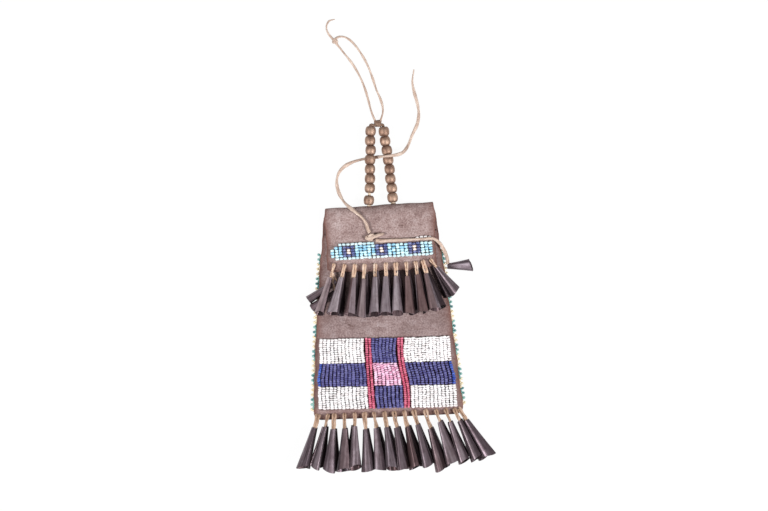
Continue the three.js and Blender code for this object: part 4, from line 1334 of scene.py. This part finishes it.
def measured_cones(node):
    """The mouth centres of a tinkler's upper and lower cones, read from its solid."""
    points = np.array([v.co for v in frame["nodes"][node].data.vertices])
    pivot = joint_places[node]
    reach = np.linalg.norm(points[:, :2] - pivot[:2], axis=1)
    rim = points[reach > RIM_FROM * reach.max()]
    split = (rim[:, 2].min() + rim[:, 2].max()) / 2
    centres = []
    for half_rim in (rim[rim[:, 2] > split], rim[rim[:, 2] <= split]):
        centres.append((half_rim.min(axis=0) + half_rim.max(axis=0)) / 2)
    return centres


def turned_about(pivot, point, degrees):
    """point turned about an upright axis through pivot. A positive turn takes a mouth towards +X."""
    angle = math.radians(degrees)
    c, s = math.cos(angle), math.sin(angle)
    x, y, z = point - pivot
    return pivot + np.array((c * x - s * y, s * x + c * y, z))


# %% [markdown]
# ## The fringes
# Each thong comes up through a hole near the edge, splits, and carries one cone on top and another
# behind it. Cut hide curls and frays, so a front thong is drawn as two thin strands that wander round
# each other, with a rounded head at the hole. The rear cones are darker, longer on the flap, and stray
# a little from the front ones, which is what makes the fringe look full. The hem's thongs are plumper
# than the flap's. A few pieces in the photograph stand out: the first thong of the flap has two cones
# thrown out to the left, and the last one points away to the right.

# %% Fringes
HEM_REAR_LEANS = [1, 5, 7, 4, -5, 3, 6, 7, 5, 7, 5, 6, 7, 2, 5, -6]
FLAP_REAR_LEANS = [0, 6, 6, 7, 7, 6, 6, 6, 6, 7, -12]
WIDE_CONES = {"hem_tinkler_04": 1.3, "hem_tinkler_13": 1.3, "hem_tinkler_06": 1.2, "flap_tinkler_02": 1.2}
SHORT_REACH = {"flap_tinkler_11": 0.82}
THROWN_CONES = {"flap_tinkler_01": [((-27.8, 19.4, 8.2), (-45, 8.6, 5.2)),
                                    ((-29, 12.6, 8.2), (-42.2, 4, 5.2))]}
HEM_RADII = ((1.4 * MM, 3.4 * MM), (1.4 * MM, 3.3 * MM))
FLAP_RADII = ((1.35 * MM, 2.9 * MM), (1.8 * MM, 3.2 * MM))
THROWN_RADII = (1.5 * MM, 2.65 * MM)
REAR_CLIMB = 0.03
REACH_INTO_CONE = 3 * MM
REACH_PAST_EDGE = 1.2 * MM
STRAND_THICKNESS = 0.95 * MM
REAR_SECTION = (1.6 * MM, 1.2 * MM)


def front_strands(pivot, top, inside, plump, rng):
    """Two thin strands that wander round each other from the hole to the cone, plump times as wide as on
    the flap."""
    line = unit(top - pivot)
    flat_line = unit(np.array((line[0], line[1], 0)))
    sideways = np.array((-flat_line[1], flat_line[0], 0))
    lift = np.array((0, 0, 1))
    twist = rng.uniform(0, math.pi)
    turns = rng.uniform(0.02, 0.3) * rng.choice((-1, 1))
    spread = rng.uniform(0.5, 0.8) * plump * MM
    strands = []
    for strand in (0, math.pi):
        route = []
        for share in (0, 0.2, 0.45, 0.7, 1):
            angle = twist * 0.3 + strand + turns * math.tau * share
            wander = spread * (1 - 0.45 * share) * rng.uniform(0.8, 1.2)
            sink = 0.3 * MM * (1 - share) ** 2
            aside = sideways * math.cos(angle) * wander + lift * (math.sin(angle) * 0.15 * wander - sink)
            route.append(pivot + (top - pivot) * share + aside)
        head = pivot - flat_line * rng.uniform(0, 0.25) * MM - lift * 1.3 * MM
        path = smooth_route(np.array([head] + route + [inside]) / MM, 0.6 * MM)
        widths = ((0, 0.8), (0.12, 1.2), (0.3, 0.95), (0.6, rng.uniform(0.8, 1.15)), (1, 0.7))
        width = rng.uniform(1.6, 2.2) * plump * MM
        strands.append(strip_shape(path, width, STRAND_THICKNESS, rng.uniform(-0.2, 0.2), widths, sides=8,
                                   seed=rng.uniform(0, 9)))
    return strands


def fringe(name, rear_leans, cone_length, inset, radii, rear_stretch, tin, strip_hide, plump):
    """A row of tinklers. rear_leans are how far each rear cone strays, in degrees, inset is from the holes
    to the edge, radii are a front and a rear cone's, and the rear cones are rear_stretch times as long."""
    for i, lean in enumerate(rear_leans):
        node = f"{name}_{i + 1:02d}"
        rng = random.Random(node)
        pivot = joint_places[node]
        shorter = SHORT_REACH.get(node, 1)
        upper_mouth, lower_mouth = [pivot + (mouth - pivot) * shorter for mouth in measured_cones(node)]
        length = cone_length * shorter
        top = upper_mouth - unit(upper_mouth - pivot) * length
        wide = WIDE_CONES.get(node, rng.uniform(1.04, 1.16))
        cones = [rolled_cone(top, upper_mouth, radii[0], rng, wide, rng.uniform(0.86, 0.94))]
        strands = front_strands(pivot, top, top + unit(upper_mouth - top) * REACH_INTO_CONE, plump, rng)
        mouth = turned_about(pivot, lower_mouth, lean)
        line = unit(mouth - pivot)
        rear_axis = unit(np.array((line[0], line[1], REAR_CLIMB)))
        rear = [(mouth - rear_axis * length * rear_stretch, mouth, radii[1])]
        tins = [hem_tin if node in SHORT_REACH else tin, shaded_tin]
        if node in THROWN_CONES:
            rear = [(*np.array(ends) * MM, THROWN_RADII) for ends in THROWN_CONES[node]]
            tins = [tin, hem_tin]
        edge = pivot + unit(upper_mouth - pivot) * (inset + REACH_PAST_EDGE)
        for top, mouth, rear_radii in rear:
            wide = rng.uniform(1.03, 1.14)
            cones.append(rolled_cone(top, mouth, rear_radii, rng, wide, rng.uniform(0.86, 0.94)))
            inside = top + unit(mouth - top) * REACH_INTO_CONE
            path = smooth_route(np.array([edge, (edge + top) / 2, top, inside]) / MM, 0.8 * MM)
            strands.append(strip_shape(path, *REAR_SECTION, rng.uniform(-0.2, 0.2), sides=8,
                                       seed=rng.uniform(0, 9)))
        piece = tin_piece(node + "_cones", cones, tins, node)
        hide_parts(node)
        thong = thong_piece(node + "_thong", strands, strip_hide)
        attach(thong, node)
    print(len(rear_leans), name, "pieces")


fringe("hem_tinkler", HEM_REAR_LEANS, cone_length=24.8 * MM, inset=2.8 * MM, radii=HEM_RADII, rear_stretch=1,
       tin=hem_tin, strip_hide=hem_strip_hide, plump=1.16)
fringe("flap_tinkler", FLAP_REAR_LEANS, cone_length=22.5 * MM, inset=3.6 * MM, radii=FLAP_RADII,
       rear_stretch=1.12, tin=flap_tin, strip_hide=flap_strip_hide, plump=1)

# %% [markdown]
# ## The closing thong's cone
# The closing thong's other end runs along the top of the strip, over the flap's side and into one more
# cone, which lies on the table beside the bag.

# %% Closing cone
CLOSING_RADII = (1.4 * MM, 3.3 * MM)
CLOSING_HEIGHTS = (1.5 * MM, 3.2 * MM)
cone_low, cone_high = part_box("closing_cone")
cone_y = (cone_low[1] + cone_high[1]) / 2
cone_top = np.array((cone_low[0], cone_y, CLOSING_HEIGHTS[0]))
cone_mouth = np.array((cone_high[0], cone_y, CLOSING_HEIGHTS[1]))
closing_shape = rolled_cone(cone_top, cone_mouth, CLOSING_RADII, random.Random(36))
closing_cone = tin_piece("closing_tin_cone", [closing_shape], [hem_tin], "flap")
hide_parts("closing_cone")
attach(closing_run, "flap")
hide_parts("closing_thong_run")
print("closing cone at", [round(v * 1000, 1) for v in cone_top])

# %% [markdown]
# ## Size and finish
# The dressed bag is meant to keep the size of the solids, so the last line prints the box that the
# dressed pieces fill.

# %% Finish
low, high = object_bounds()
print("visual box, mm:", [round(v * 1000, 1) for v in (*low, *high)])
